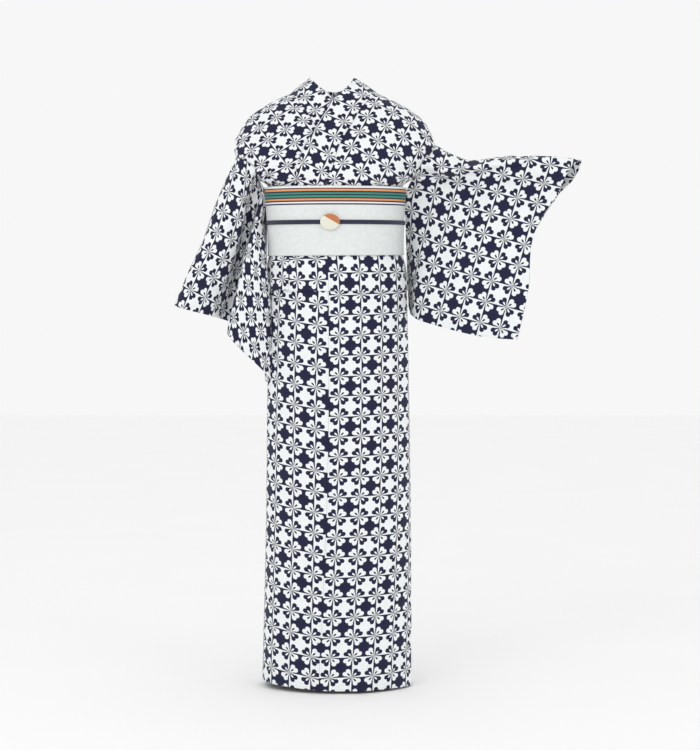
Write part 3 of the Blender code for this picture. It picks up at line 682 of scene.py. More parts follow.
def add_sheet(name, node, points, place, thickness, finish, join=False):
    """A sheet of cloth of some thickness, from rows of points."""
    mesh = grid_mesh(name, points, place)
    set_map(mesh, "edge", edge_places(points))
    if join:
        weld_ends(mesh)
    item = add_piece(node, mesh, finish)
    thicken = item.modifiers.new("thickness", "SOLIDIFY")
    thicken.thickness = thickness
    thicken.offset = 0.0
    thicken.use_even_offset = True
    weigh = item.modifiers.new("even shading", "WEIGHTED_NORMAL")
    weigh.weight = 60
    return item


def weld_ends(mesh):
    work = bmesh.new()
    work.from_mesh(mesh)
    bmesh.ops.remove_doubles(work, verts=work.verts, dist=1e-5)
    work.to_mesh(mesh)
    work.free()


def add_cotton(name, points, place, thickness=None, printed=None):
    """A piece of the printed cotton."""
    cloth = bpy.context.scene.robe_cloth
    printed = lay_print(name, place) if printed is None else printed
    item = add_sheet(name + "_cloth", name, points, printed, thickness or cloth.thickness, cotton_finish())


class Wires:
    """Adds nodes to one tree and joins them."""

    def __init__(self, tree):
        self.tree = tree

    def add(self, kind, **settings):
        node = self.tree.nodes.new(kind)
        for name, value in settings.items():
            setattr(node, name, value)
        return node

    def join(self, value, socket):
        if isinstance(value, bpy.types.NodeSocket):
            self.tree.links.new(value, socket)
        else:
            socket.default_value = value

    def math(self, operation, *values, clamp=False):
        node = self.add("ShaderNodeMath", operation=operation, use_clamp=clamp)
        for value, socket in zip(values, node.inputs):
            self.join(value, socket)
        return node.outputs[0]

    def blend(self, share, first, second, mode="MIX"):
        node = self.add("ShaderNodeMix", data_type="RGBA", blend_type=mode)
        self.join(share, node.inputs[0])
        self.join(first, node.inputs[6])
        self.join(second, node.inputs[7])
        return node.outputs[2]

    def noise(self, place, scale, detail=2.0):
        node = self.add("ShaderNodeTexNoise")
        self.join(place, node.inputs["Vector"])
        node.inputs["Scale"].default_value = scale
        node.inputs["Detail"].default_value = detail
        return node.outputs["Fac"]

    def stretch(self, place, scale):
        node = self.add("ShaderNodeVectorMath", operation="MULTIPLY")
        self.join(place, node.inputs[0])
        node.inputs[1].default_value = scale
        return node.outputs[0]

    def parts(self, place):
        node = self.add("ShaderNodeSeparateXYZ")
        self.join(place, node.inputs[0])
        return node.outputs

    def soft_step(self, value, width):
        """1 where the value is above 0 and 0 below, over a soft edge."""
        return self.math("MULTIPLY_ADD", value, 1.0 / width, 0.5, clamp=True)

    def either(self, first, second):
        """1 where just one of two masks is 1."""
        both = self.math("MULTIPLY", first, second)
        total = self.math("ADD", first, second)
        return self.math("MULTIPLY_ADD", both, -2.0, total)

    def group(self, tree, **values):
        node = self.add("ShaderNodeGroup", node_tree=tree)
        for name, value in values.items():
            self.join(value, node.inputs[name])
        return node.outputs


def new_group(name, inputs, outputs):
    """An empty node group, with its wires and its two end nodes."""
    tree = bpy.data.node_groups.new(name, "ShaderNodeTree")
    for label, kind in inputs:
        tree.interface.new_socket(label, in_out="INPUT", socket_type="NodeSocket" + kind)
    for label in outputs:
        tree.interface.new_socket(label, in_out="OUTPUT", socket_type="NodeSocketFloat")
    wires = Wires(tree)
    return tree, wires, wires.add("NodeGroupInput").outputs, wires.add("NodeGroupOutput").inputs


def clover_group():
    """Counterchanged clovers on the corners of a check: 1 is dark, 0 is light."""
    if "clover check" in bpy.data.node_groups:
        return bpy.data.node_groups["clover check"]
    tree, wires, given, result = new_group(
        "clover check", (("Place", "Vector"), ("Check", "Float")), ("Dark",))
    across, along, _ = wires.parts(given["Place"])
    across = wires.math("DIVIDE", across, given["Check"])
    along = wires.math("DIVIDE", along, given["Check"])
    square = wires.either(wires.soft_step(wave_sign(wires, across), 0.03),
                          wires.soft_step(wave_sign(wires, along), 0.03))
    square = wires.math("SUBTRACT", 1.0, square)
    near_across = wires.math("ABSOLUTE", wires.math("SUBTRACT", across, wires.math("ROUND", across)))
    near_along = wires.math("ABSOLUTE", wires.math("SUBTRACT", along, wires.math("ROUND", along)))
    total = wires.math("ADD", near_across, near_along)
    gap = wires.math("SUBTRACT", near_across, near_along)
    out = wires.math("MULTIPLY", total, math.sqrt(0.5))
    side = wires.math("MULTIPLY", wires.math("ABSOLUTE", gap), math.sqrt(0.5))
    heart = petal_mask(wires, out, side)
    result_mask = wires.either(wires.either(square, heart), slit_mask(wires, out, side))
    wires.join(result_mask, result["Dark"])
    return tree


def wave_sign(wires, value):
    """Changes its sign at every whole number."""
    return wires.math("SINE", wires.math("MULTIPLY", value, math.pi))


def round_mask(wires, out, side, centre, radii, soft):
    """1 inside an oval on the petal's own two directions."""
    first = wires.math("DIVIDE", wires.math("SUBTRACT", out, centre[0]), radii[0])
    second = wires.math("DIVIDE", wires.math("SUBTRACT", side, centre[1]), radii[1])
    reach = wires.math("SQRT", wires.math("ADD", wires.math("POWER", wires.math("ABSOLUTE", first), 2.0),
                                          wires.math("POWER", wires.math("ABSOLUTE", second), 2.0)))
    return wires.soft_step(wires.math("SUBTRACT", 1.0, reach), soft)


def petal_mask(wires, out, side):
    """One heart-shaped petal: a wedge from the corner and two round lobes."""
    width = wires.math("MULTIPLY", out, PETAL_WIDENING)
    wedge = wires.soft_step(wires.math("SUBTRACT", width, side), 0.008)
    end = wires.soft_step(wires.math("SUBTRACT", PETAL_WEDGE_END, out), 0.02)
    wedge = wires.math("MULTIPLY", wedge, end)
    lobe = round_mask(wires, out, side, LOBE_CENTRE, LOBE_RADII, 0.08)
    return wires.math("MAXIMUM", wedge, lobe)


def slit_mask(wires, out, side):
    """The slim drop along the middle of a petal, with its stalk."""
    drop = round_mask(wires, out, side, DROP_CENTRE, DROP_RADII, 0.12)
    stalk = wires.soft_step(wires.math("SUBTRACT", STALK_HALF_WIDTH, side), 0.006)
    end = wires.soft_step(wires.math("SUBTRACT", STALK_END, out), 0.04)
    stalk = wires.math("MULTIPLY", stalk, end)
    return wires.math("MAXIMUM", drop, stalk)


def weave_group():
    """Crossing threads of uneven thickness: their height, and a little shade."""
    if "plain weave" in bpy.data.node_groups:
        return bpy.data.node_groups["plain weave"]
    tree, wires, given, result = new_group(
        "plain weave", (("Place", "Vector"), ("Thread", "Float")), ("Height", "Shade"))
    across, along, _ = wires.parts(given["Place"])
    rate = wires.math("DIVIDE", math.pi, given["Thread"])
    first = wires.math("SINE", wires.math("MULTIPLY", across, rate))
    second = wires.math("SINE", wires.math("MULTIPLY", along, rate))
    cross = wires.math("MULTIPLY", first, second)
    warp = wires.noise(wires.stretch(given["Place"], (1400.0, 60.0, 1.0)), 1.0)
    weft = wires.noise(wires.stretch(given["Place"], (60.0, 1400.0, 1.0)), 1.0)
    slub = wires.math("ADD", warp, weft)
    wires.join(wires.math("MULTIPLY_ADD", cross, 0.25, slub), result["Height"])
    wires.join(wires.math("MULTIPLY_ADD", slub, 0.16, 0.84), result["Shade"])
    return tree


def seam_group():
    """The groove beside a seam and the small stitches along it, and the turned hem."""
    if "seams" in bpy.data.node_groups:
        return bpy.data.node_groups["seams"]
    tree, wires, given, result = new_group(
        "seams", (("Place", "Vector"), ("Edge", "Vector")), ("Height", "Thread"))
    across, along, _ = wires.parts(given["Place"])
    side, end, _ = wires.parts(given["Edge"])
    groove = wires.soft_step(wires.math("SUBTRACT", SEAM_GROOVE, side), 0.0022)
    run = stitch_mask(wires, side, along, SEAM_STITCHES)
    hem_run = stitch_mask(wires, end, across, HEM_STITCHES)
    turned = wires.soft_step(wires.math("SUBTRACT", HEM_FOLD, end), 0.0012)
    thread = wires.math("MAXIMUM", run, hem_run)
    height = wires.math("SUBTRACT", wires.math("MULTIPLY", turned, 0.5), groove)
    wires.join(wires.math("MULTIPLY_ADD", thread, -0.8, height), result["Height"])
    wires.join(thread, result["Thread"])
    return tree


def stitch_mask(wires, distance, along, inset):
    """Short stitches in a line that runs this far inside an edge."""
    away = wires.math("ABSOLUTE", wires.math("SUBTRACT", distance, inset))
    line = wires.soft_step(wires.math("SUBTRACT", 0.00035, away), 0.0002)
    beat = wires.math("SINE", wires.math("MULTIPLY", along, 2 * math.pi / STITCH_LENGTH))
    return wires.math("MULTIPLY", line, wires.soft_step(beat, 0.4))


def start_finish(name):
    """A new material: its wires, its shader and its place on the flat cloth."""
    made = bpy.data.materials.new(name)
    made.use_nodes = True
    wires = Wires(made.node_tree)
    shader = made.node_tree.nodes["Principled BSDF"]
    return made, wires, shader, wires.add("ShaderNodeUVMap", uv_map="cloth").outputs[0]


def add_bump(wires, shader, height, strength, distance):
    bump = wires.add("ShaderNodeBump")
    bump.inputs["Strength"].default_value = strength
    bump.inputs["Distance"].default_value = distance
    wires.join(height, bump.inputs["Height"])
    wires.join(bump.outputs[0], shader.inputs["Normal"])


def cotton_finish():
    """Washed cotton, printed with clovers: matt, finely woven and a little uneven in its dye."""
    if "printed cotton" in bpy.data.materials:
        return bpy.data.materials["printed cotton"]
    cloth = bpy.context.scene.robe_cloth
    made, wires, shader, place = start_finish("printed cotton")
    edge = wires.add("ShaderNodeUVMap", uv_map="edge").outputs[0]
    dark = wires.group(clover_group(), Place=place, Check=cloth.check)["Dark"]
    weave = wires.group(weave_group(), Place=place, Thread=0.0006)
    seams = wires.group(seam_group(), Place=place, Edge=edge)
    dye = wires.noise(wires.stretch(place, (9.0, 9.0, 1.0)), 1.0, 4.0)
    navy = wires.blend(dye, (*cloth.dark, 1.0), (*[1.35 * part for part in cloth.dark], 1.0))
    print_colour = wires.blend(dark, (*cloth.light, 1.0), navy)
    shade = wires.math("MULTIPLY_ADD", seams["Thread"], -0.25, weave["Shade"])
    wires.join(wires.blend(1.0, print_colour, shade, "MULTIPLY"), shader.inputs["Base Color"])
    wires.join(wires.math("MULTIPLY_ADD", dark, -0.06, 0.9), shader.inputs["Roughness"])
    shader.inputs["Sheen Weight"].default_value = 0.12
    shader.inputs["Sheen Roughness"].default_value = 0.4
    shader.inputs["Specular IOR Level"].default_value = 0.3
    height = wires.math("MULTIPLY_ADD", seams["Height"], 2.0, weave["Height"])
    add_bump(wires, shader, height, 0.35, 0.0005)
    return made


def sash_finish():
    """A woven sash: coloured stripes along one edge, pale leaves in the weave below them."""
    if "sash cloth" in bpy.data.materials:
        return bpy.data.materials["sash cloth"]
    sash = bpy.context.scene.robe_sash
    made, wires, shader, place = start_finish("sash cloth")
    across, along, _ = wires.parts(place)
    ramp = wires.add("ShaderNodeValToRGB")
    ramp.color_ramp.interpolation = "CONSTANT"
    stops = ramp.color_ramp.elements
    while len(stops) < len(SASH_STRIPES):
        stops.new(0.99)
    for stop, (start, colour) in zip(stops, SASH_STRIPES):
        stop.position = start / SASH_STRIPES_REACH
        stop.color = (*getattr(sash, colour), 1.0)
    wires.join(wires.math("DIVIDE", along, SASH_STRIPES_REACH * MILLIMETRE), ramp.inputs[0])
    leaves = leaf_mask(wires, place)
    below = wires.soft_step(wires.math("SUBTRACT", along, SASH_STRIPES[-1][0] * MILLIMETRE), 0.0006)
    leaves = wires.math("MULTIPLY", leaves, below)
    rib = wires.math("SINE", wires.math("MULTIPLY", across, 2 * math.pi / 0.0016))
    weave = wires.group(weave_group(), Place=place, Thread=0.0005)
    shade = wires.math("MULTIPLY_ADD", leaves, 0.035, weave["Shade"])
    wires.join(wires.blend(1.0, ramp.outputs[0], shade, "MULTIPLY"), shader.inputs["Base Color"])
    wires.join(wires.math("MULTIPLY_ADD", leaves, -0.12, 0.72), shader.inputs["Roughness"])
    shader.inputs["Sheen Weight"].default_value = 0.15
    shader.inputs["Specular IOR Level"].default_value = 0.4
    height = wires.math("MULTIPLY_ADD", rib, 0.3, weave["Height"])
    add_bump(wires, shader, wires.math("MULTIPLY_ADD", leaves, 0.4, height), 0.3, 0.0004)
    return made


def leaf_mask(wires, place):
    """Tone-on-tone scrolls and leaves, woven into the sash."""
    bend = wires.noise(place, 14.0, 1.0)
    leaf = wires.noise(place, 55.0, 1.0)
    rings = wires.math("MULTIPLY_ADD", bend, 9.0, wires.math("MULTIPLY", leaf, 24.0))
    vein = wires.math("SINE", rings)
    return wires.soft_step(wires.math("SUBTRACT", vein, 0.25), 0.3)


def cord_finish():
    """A flat silk braid: slanting strands that cross in the middle, with painted shade between the strands.
    """
    sash = bpy.context.scene.robe_sash
    made, wires, shader, place = start_finish("cord")
    across, along, _ = wires.parts(place)
    slant = wires.math("ABSOLUTE", wires.math("SUBTRACT", along, CORD_HEIGHT / 2))
    phase = wires.math("MULTIPLY", wires.math("ADD", across, slant), 2 * math.pi / 0.0022)
    strand_relief_and_painted_shade = wires.math("SINE", phase)
    fine = wires.noise(wires.stretch(place, (900.0, 2600.0, 1.0)), 1.0)
    # Painted shade: the colour is lighter on each strand's crest and darker between strands, in step with
    # the bump; the fine noise is the silk's own uneven tone.
    shade = wires.math("MULTIPLY_ADD", strand_relief_and_painted_shade, 0.12, wires.math("MULTIPLY_ADD", fine, 0.5, 0.7))
    wires.join(wires.blend(1.0, (*sash.navy, 1.0), shade, "MULTIPLY"), shader.inputs["Base Color"])
    wires.join(wires.math("MULTIPLY_ADD", fine, 0.2, 0.45), shader.inputs["Roughness"])
    shader.inputs["Sheen Weight"].default_value = 0.2
    add_bump(wires, shader, wires.math("MULTIPLY_ADD", fine, 0.3, strand_relief_and_painted_shade), 0.6, 0.0006)
    return made


def clip_finish():
    """A polished clip in two tones, parted by a slanting line, mottled like shell and stone."""
    sash = bpy.context.scene.robe_sash
    made, wires, shader, place = start_finish("clip")
    across, along, _ = wires.parts(place)
    side = wires.math("ADD", wires.math("MULTIPLY", across, 0.5), wires.math("MULTIPLY", along, 0.87))
    side = wires.math("SUBTRACT", side, 0.0048)
    brown = wires.soft_step(side, 0.0006)
    mottle = wires.noise(place, 160.0, 5.0)
    cream = wires.blend(mottle, (*sash.clip_cream, 1.0), (*[0.82 * part for part in sash.clip_cream], 1.0))
    stone = wires.blend(mottle, (*sash.clip_brown, 1.0), (*[1.5 * part for part in sash.clip_brown], 1.0))
    wires.join(wires.blend(brown, cream, stone), shader.inputs["Base Color"])
    wires.join(wires.math("MULTIPLY_ADD", mottle, 0.25, 0.22), shader.inputs["Roughness"])
    shader.inputs["Coat Roughness"].default_value = 0.12
    shader.inputs["Coat Weight"].default_value = 0.5
    line = wires.soft_step(wires.math("SUBTRACT", 0.0004, wires.math("ABSOLUTE", side)), 0.0003)
    add_bump(wires, shader, wires.math("SUBTRACT", mottle, line), 0.35, 0.0005)
    return made


def tuck_rows(turn):
    """The tuck's profile at one turn, from its hidden end down, out and up."""
    return through([(turn, height, layer) for height, layer in TUCK_ROWS], ROW_STEPS // 2)


def armhole_edge(table, side, share, back=False):
    """Turn and height on the armhole edge, from the shoulder tip (0) to the armpit (1)."""
    table = np.array(table)
    turn, height = smooth(np.linspace(0, 1, len(table)), table, share).T
    turn = 90.0 + turn if back else 90.0 - turn
    return np.stack([side * turn, height], axis=-1)


def side_edges(rows, side_turn):
    """Edges of the cloth below the armhole: at its inner seam and at the side."""
    rows = np.array(rows)
    near = rows[:, [0, 1, 3]]
    far = np.column_stack([np.full(len(rows), side_turn), rows[:, 2], rows[:, 4]])
    return near, far


def shoulder_edges(seam, layers, armhole, side):
    """Edges along the collar seam and round the armhole, and the row of the shoulder's top."""
    shares = (-1.0, -0.80, -0.55, -0.32, -0.18, -0.08, 0.0, 0.10, 0.24)
    rows = through([(share, layer, BODY_LAYER) for share, layer in zip(shares, layers)], ROW_STEPS)
    edge = np.where(rows[:, :1] > 0,
                    armhole_edge(armhole, side, np.abs(rows[:, 0]), back=True),
                    armhole_edge(armhole, side, np.abs(rows[:, 0])))
    top = int(np.argmin(np.abs(rows[:, 0])))
    return (np.column_stack([seam, rows[:, 1]]), np.column_stack([edge, rows[:, 2]])), top


def before_arm(edges, arm):
    """Extra rows up to the start of the shoulder's edges."""
    return [through(np.vstack([edge, along_arm[:1]]), ROW_STEPS)[:-1] for edge, along_arm in zip(edges, arm)]


def after_arm(arm, edges):
    """Extra rows down from the end of the shoulder's edges."""
    return [through(np.vstack([along_arm[-1:], edge]), ROW_STEPS)[1:] for along_arm, edge in zip(arm, edges)]


def back_seam(side):
    rows = ((-0.0550, 0.7), (-0.1150, 0.7), (-0.1600, 0.7), (-0.1850, 0.7), (-0.2500, 3.6), (-0.3240, 5.3))
    return [(side * 180.0, height, layer) for height, layer in rows]


def back_outer(armhole, side):
    edge = armhole_edge(armhole, side, np.array((0.45, 0.75, 1.0)), back=True)
    near_arm = [(turn, height, BODY_LAYER) for turn, height in edge]
    below = [(side * 90.0, -0.1850, BODY_LAYER), (side * 90.0, -0.2500, 3.6), (side * 90.0, -0.3240, 5.3)]
    return near_arm + below


def collar_path():
    left = [(row[0] - TURN, row[1], row[2] - TURN) + row[3:] for row in COLLAR_LEFT_ROWS]
    rows = list(COLLAR_RIGHT_ROWS) + [COLLAR_BACK_ROW] + left
    return through(rows, ROW_STEPS)


def collar_seam(first, last, side):
    """Turn and height of the collar's seam between two of its rows."""
    path = collar_path()
    step = 1 if last > first else -1
    part = path[first * ROW_STEPS:last * ROW_STEPS + step or None:step, :2].copy()
    if side > 0:
        part[:, 0] += TURN
    return part


def bodice_place(name, panel, points, top, side):
    """Place on the flat cloth: its rows follow the shoulder's slope and are level behind."""
    turn, height = panel[..., 0] * side, panel[..., 1]
    across = points[..., 0] * side
    tilt = math.radians(PRINT_TILT[name]) * (1 - ease((turn - 95) / 40))
    drop = -(across * np.sin(tilt) + height * np.cos(tilt))
    down, back = np.diff(drop, axis=0), np.diff(points[..., 1], axis=0)
    extra = np.vstack([np.zeros((1, drop.shape[1])), (np.hypot(down, back) - np.abs(down)).cumsum(axis=0)])
    extra = np.abs(extra - extra[top])
    row = np.arange(len(drop))[:, None]
    along = np.where(row <= top, drop + extra, 2 * drop[top] - drop - extra)
    return np.dstack([across * np.cos(tilt) - height * np.sin(tilt), along])


def side_gain(panel, points, side):
    """Width of cloth that a plain front view leaves out where the bodice turns away at the side."""
    turn, height = panel[..., 0] * side, panel[..., 1]
    from_middle = np.minimum(turn, 180 - turn)
    step = np.diff(points[..., :2], axis=1)
    hidden = np.linalg.norm(step, axis=-1) - np.abs(step[..., 0])
    hidden = hidden * ease((from_middle[:, 1:] - SIDE_TURN) / SIDE_TURN_FADE)
    gain = np.hstack([np.zeros((len(points), 1)), hidden.cumsum(axis=1)])
    return gain * ease((SIDE_TOP - height) / SIDE_TOP_FADE)


def tuck_place(panel, side):
    """Place on the flat cloth below the sash, where the rows are level all round."""
    turn, height = panel[..., 0] * side, panel[..., 1]
    behind = turn > 90
    arc = arc_from(np.where(behind, 180.0, 0.0), turn, height)
    return np.dstack([np.where(behind, -arc, arc), -height])


def add_bodice(name, front_rows, arm, top, armhole, side, tuck_in_front):
    """The cloth from the front's sash line over the shoulder and down the back to the tuck."""
    side_turn = side * 90.0
    front = before_arm(side_edges(front_rows, side_turn), arm)
    back = after_arm(arm, (back_seam(side), back_outer(armhole, side)))
    tuck = (tuck_rows(side * 180.0)[::-1][1:], tuck_rows(side * BACK_TUCK_TURN[name])[::-1][1:])
    parts = [front, arm, back, tuck]
    top += len(front[0])
    if tuck_in_front:
        front_tuck = (tuck_rows(OVERLAP_SEAM_TURN)[:-1], tuck_rows(side_turn)[:-1])
        parts.insert(0, front_tuck)
        top += len(front_tuck[0])
    near = np.vstack([part[0] for part in parts])
    far = np.vstack([part[1] for part in parts])
    panel = ruled(near, far, PANEL_COLUMNS, step=late)
    points = laid_on_body(panel, BODICE_CREASES, 0.25)
    place = bodice_place(name, panel, points, top, side)
    below = lay_print("tuck_left" if side > 0 else "tuck_right", tuck_place(panel, side))
    low = ease((LEVEL_PRINT_TOP - panel[..., 1:2]) / LEVEL_PRINT_FADE)
    turned = np.dstack([place[..., 0] + side_gain(panel, points, side), place[..., 1]])
    printed = lay_print(name, turned) * (1 - low) + below * low
    add_cotton(name, points, place, printed=printed)


def level_place(panel, reference_turn, base_turn):
    """Place on the flat cloth of a panel whose rows are level, from one of its own lines."""
    turn, height = panel[..., 0], panel[..., 1]
    start = np.full(turn.shape, base_turn)
    line = np.broadcast_to(np.reshape(reference_turn, (-1, 1)), turn.shape)
    across = arc_from(start, turn, height) - arc_from(start, line, height)
    return np.dstack([across, -height])


def add_overlap_left_upper():
    """The overlap below the collar, with its part of the tuck."""
    near = ((COLLAR_SEAM_TURN, -0.3240, 5.3), (-22.5, -0.2500, 5.2), (-11.0, -0.2000, 5.0))
    far = ((OVERLAP_SEAM_TURN, -0.3240, 5.3), (OVERLAP_SEAM_TURN, -0.2500, 5.0), (-7.0, -0.2000, 4.7))
    near = np.vstack([tuck_rows(COLLAR_SEAM_TURN)[:-1], through(near, ROW_STEPS)])
    far = np.vstack([tuck_rows(OVERLAP_SEAM_TURN)[:-1], through(far, ROW_STEPS)])
    panel = ruled(near, far, 25)
    points = laid_on_body(panel, TUCK_CREASES, 0.15)
    place = level_place(panel, OVERLAP_SEAM_TURN, 0.0)
    add_cotton("overlap_left_upper", points, place)


def add_overlap_right_upper():
    near = through(((18.8, -0.2500, 0.7), (10.5, -0.2120, 0.7), (7.6, -0.1980, 0.7)), ROW_STEPS)
    far = through(((6.0, -0.2500, 0.7), (6.0, -0.2150, 0.7), (6.0, -0.2000, 0.7)), ROW_STEPS)
    panel = ruled(near, far, 9)
    points = on_body(*np.moveaxis(panel, -1, 0))
    add_cotton("overlap_right_upper", points, level_place(panel, 6.0, 0.0))


def add_collar():
    """The one long collar strip: its map runs along it, from the middle of its width."""
    end = [(COLLAR_SEAM_TURN - TURN, height, COLLAR_FREE_TURN - TURN, height, 5.9)
           for height in COLLAR_END_HEIGHTS]
    path = collar_path()
    rows = np.vstack([path, through(np.vstack([path[-1:], end]), ROW_STEPS)[1:]])
    panel = ruled(rows[:, [0, 1, 4]], rows[:, [2, 3, 4]], 17)
    points = on_body(*np.moveaxis(panel, -1, 0))
    across = running_length(points, 1)
    along = running_length(points[:, 8], 0)
    along = np.broadcast_to(along[:, None], across.shape)
    place = np.dstack([across, along])
    cloth = bpy.context.scene.robe_cloth
    add_cotton("collar", points, place, cloth.collar_thickness)


def hem_height(turn):
    table = np.array(HEM_ROWS)
    return smooth(table[:, 0], table[:, 1], turn)


def add_skirt_panel(name, near_turns, far_turns, layers, base_turn, crowd=1.0, step=even):
    """A skirt length between two edges, each a turn at the waist, at mid skirt and at the hem."""
    share = np.linspace(0, 1, SKIRT_ROWS)

    def edge(turns, layer):
        heights = WAIST_HEIGHT + (hem_height(turns[2]) - WAIST_HEIGHT) * share
        turn = smooth((-1.26, -0.60, -0.262), turns[::-1], heights)
        return np.column_stack([turn, heights, np.full(len(heights), layer)])

    panel = ruled(edge(near_turns, layers[0]), edge(far_turns, layers[1]), PANEL_COLUMNS, crowd, step)
    lower = ease((-0.9 - panel[..., 1]) / 0.3) * (hem_height(panel[..., 0]) - panel[-1:, :, 1])
    panel[..., 1] += lower
    points = laid_on_body(panel, SKIRT_CREASES, 0.45)
    place = level_place(panel, panel[:, 0, 0], base_turn)
    add_cotton(name, points, place)


def sleeve_middle(folds, along, around):
    """The sheet midway between a sleeve's front and back."""
    shares = [fold[0] for fold in folds]
    lines = np.array([fold[1] for fold in folds])
    across = np.stack([smooth(SLEEVE_STATIONS, line, along) for line in lines])
    rows = [smooth(shares, across[:, column], around, flowing=True) for column in range(len(along))]
    return np.stack(rows)


def sheet_normal(grid):
    around = np.gradient(grid, axis=1)
    along = np.gradient(grid, axis=0)
    outward = np.cross(around, along)
    return outward / np.linalg.norm(outward, axis=-1, keepdims=True)


def sleeve_half_gap(name, along, around):
    """Half the space between front and back: round over the arm, thin in the bag, sewn shut at its ends."""
    radius = ARM_RADIUS_SHOULDER + (ARM_RADIUS_CUFF - ARM_RADIUS_SHOULDER) * along[:, None]
    around = around[None, :]
    rise = np.sqrt(1 - (1 - np.clip(around / ARM_CENTRE_SHARE, 0, 1)) ** 2)
    fall = np.clip((around - ARM_CENTRE_SHARE) / (ARM_END_SHARE - ARM_CENTRE_SHARE), 0, 1)
    fall = 0.5 + 0.5 * np.cos(math.pi * fall)
    gap = radius * rise * fall + SLEEVE_HALF_GAP[name] * (1 - fall)
    sewn = ease((around - SLEEVE_CUFF[name]) / 0.04) * ease((along[:, None] - 0.955) / 0.04)
    bottom = ease((around - 0.95) / 0.05)
    closed = np.maximum(sewn, bottom)
    return gap * (1 - closed) + SEWN_HALF_GAP * closed * (around > 0)


def sleeve_root(name, middle, normal, armhole, side, around):
    """The sleeve's inner end: on the armhole's edge, then the free edge that hangs below it."""
    share = SLEEVE_ARMHOLE[name]
    inside = np.clip(around / share, 0, 1)
    front = on_body(*armhole_edge(armhole, side, inside).T, SLEEVE_LAYER)
    back = on_body(*armhole_edge(armhole, side, inside, back=True).T, SLEEVE_LAYER)
    close = (1 - ease((around - 0.95) / 0.05))[:, None]
    gap = SEWN_HALF_GAP + (ROOT_HALF_GAP - SEWN_HALF_GAP) * close
    hanging = ease((around - share) / 0.06)[:, None]
    front = front + (middle + normal * gap - front) * hanging
    back = back + (middle - normal * gap - back) * hanging
    return front, back


def raised_roll(along, around):
    """The rolled ridge across the raised sleeve's front, with the hollow under it."""
    line = 0.175 - 0.15 * along[:, None]
    away = around[None, :] - line
    size = 0.013 * np.clip(1.1 - along[:, None], 0, 1)
    return size * (np.exp(-((away + 0.03) / 0.028) ** 2) - 0.9 * np.exp(-((away - 0.012) / 0.022) ** 2))


def no_roll(along, around):
    return np.zeros((len(along), len(around)))


def sleeve_creases(middle, creases):
    """Rise in metres of a sleeve's soft creases, which front and back share."""
    rows, columns = middle.shape[:2]
    table = np.array(creases)

    def spot(first, second):
        row = (table[:, first] * (rows - 1)).astype(int)
        column = (table[:, second] * (columns - 1)).astype(int)
        return middle[row, column]

    rise = crease_rise(middle, spot(0, 1), spot(2, 3), table[:, 4], table[:, 5])
    return (rise + uneven(middle, 0.5)) * MILLIMETRE


def sleeve_place(points, top):
    """Place on the flat cloth: along the arm, and round it from the top fold."""
    around, along = running_length(points, 1), running_length(points, 0)
    around = around - around[:, top:top + 1]
    return np.dstack([along - along[-1:], around])


def turned_place(points):
    """Place on the raised sleeve's print, which keeps one turn from the bottom edge up and over."""
    turn = math.radians(RAISED_TURN)
    level = np.linalg.norm(np.diff(points[..., :2], axis=0), axis=-1)[::-1].cumsum(axis=0)[::-1]
    spread = points[-1:, :, 0] - np.vstack([level, np.zeros((1, points.shape[1]))])
    rise = np.abs(np.diff(points[..., 2], axis=1))[:, ::-1].cumsum(axis=1)[:, ::-1]
    height = points[:, -1:, 2] + np.hstack([rise, np.zeros((len(points), 1))])
    across = spread * math.cos(turn) - height * math.sin(turn)
    length = np.linalg.norm(np.diff(points, axis=1), axis=-1)
    climb = np.sqrt(np.maximum(length ** 2 - np.diff(across, axis=1) ** 2, 0))
    climb = np.hstack([climb[:, ::-1].cumsum(axis=1)[:, ::-1], np.zeros((len(points), 1))])
    bottom = spread[:, -1:] * math.sin(turn) + points[:, -1:, 2] * math.cos(turn)
    return np.dstack([across, -(bottom + climb)])


def add_sleeve(name, folds, armhole, side, roll, creases):
    """One sleeve: a length of cloth folded at the top and sewn below, open at the arm and the cuff."""
    along = np.linspace(0, 1, SLEEVE_COLUMNS) ** 1.1
    around = np.linspace(0, 1, SLEEVE_SHARES) ** 1.25
    middle = sleeve_middle(folds, along, around)
    inward, reach = SLEEVE_INWARD[name]
    closer = (1 - ease(along / reach))[:, None] * ease((around - 0.14) / 0.16)[None, :]
    middle[..., 0] -= side * inward * closer
    normal = sheet_normal(middle) * side
    inner = ease(along / 0.2)[:, None] * ease((1 - around) / 0.1)[None, :]
    middle = middle + normal * (sleeve_creases(middle, creases) * inner)[..., None]
    gap = sleeve_half_gap(name, along, around)
    front = middle + normal * (gap + roll(along, around))[..., None]
    back = middle - normal * gap[..., None]
    root_front, root_back = sleeve_root(name, middle[0], normal[0], armhole, side, around)
    reach = (np.clip(1 - along / ROOT_REACH, 0, 1) ** 2)[:, None, None]
    front = front + reach * (root_front - front[0])
    back = back + reach * (root_back - back[0])
    fold = (front[:, :1] + back[:, :1]) / 2
    points = np.concatenate([back[:, :0:-1], fold, front[:, 1:]], axis=1)
    place = sleeve_place(points, SLEEVE_SHARES - 1)
    printed = lay_print(name, turned_place(points) if side > 0 else place)
    if side > 0:
        points, place, printed = points[:, ::-1], place[:, ::-1], printed[:, ::-1]
    add_cotton(name, points, place, printed=printed)


def add_band(name, node, near, far, finish, thickness, columns=13, steps=16):
    """A flat band of the sash between two edges, each from its low to its high end."""
    panel = ruled(through(near, steps), through(far, steps), columns)
    points = on_body(panel[..., 0], panel[..., 1], panel[..., 2])
    across, along = running_length(points, 1), running_length(points, 0)
    place = np.dstack([along, across])
    item = add_sheet(name, node, points, place, thickness, finish)


def ring_turns(segments):
    return np.linspace(0, TURN, segments + 1) - 180.0


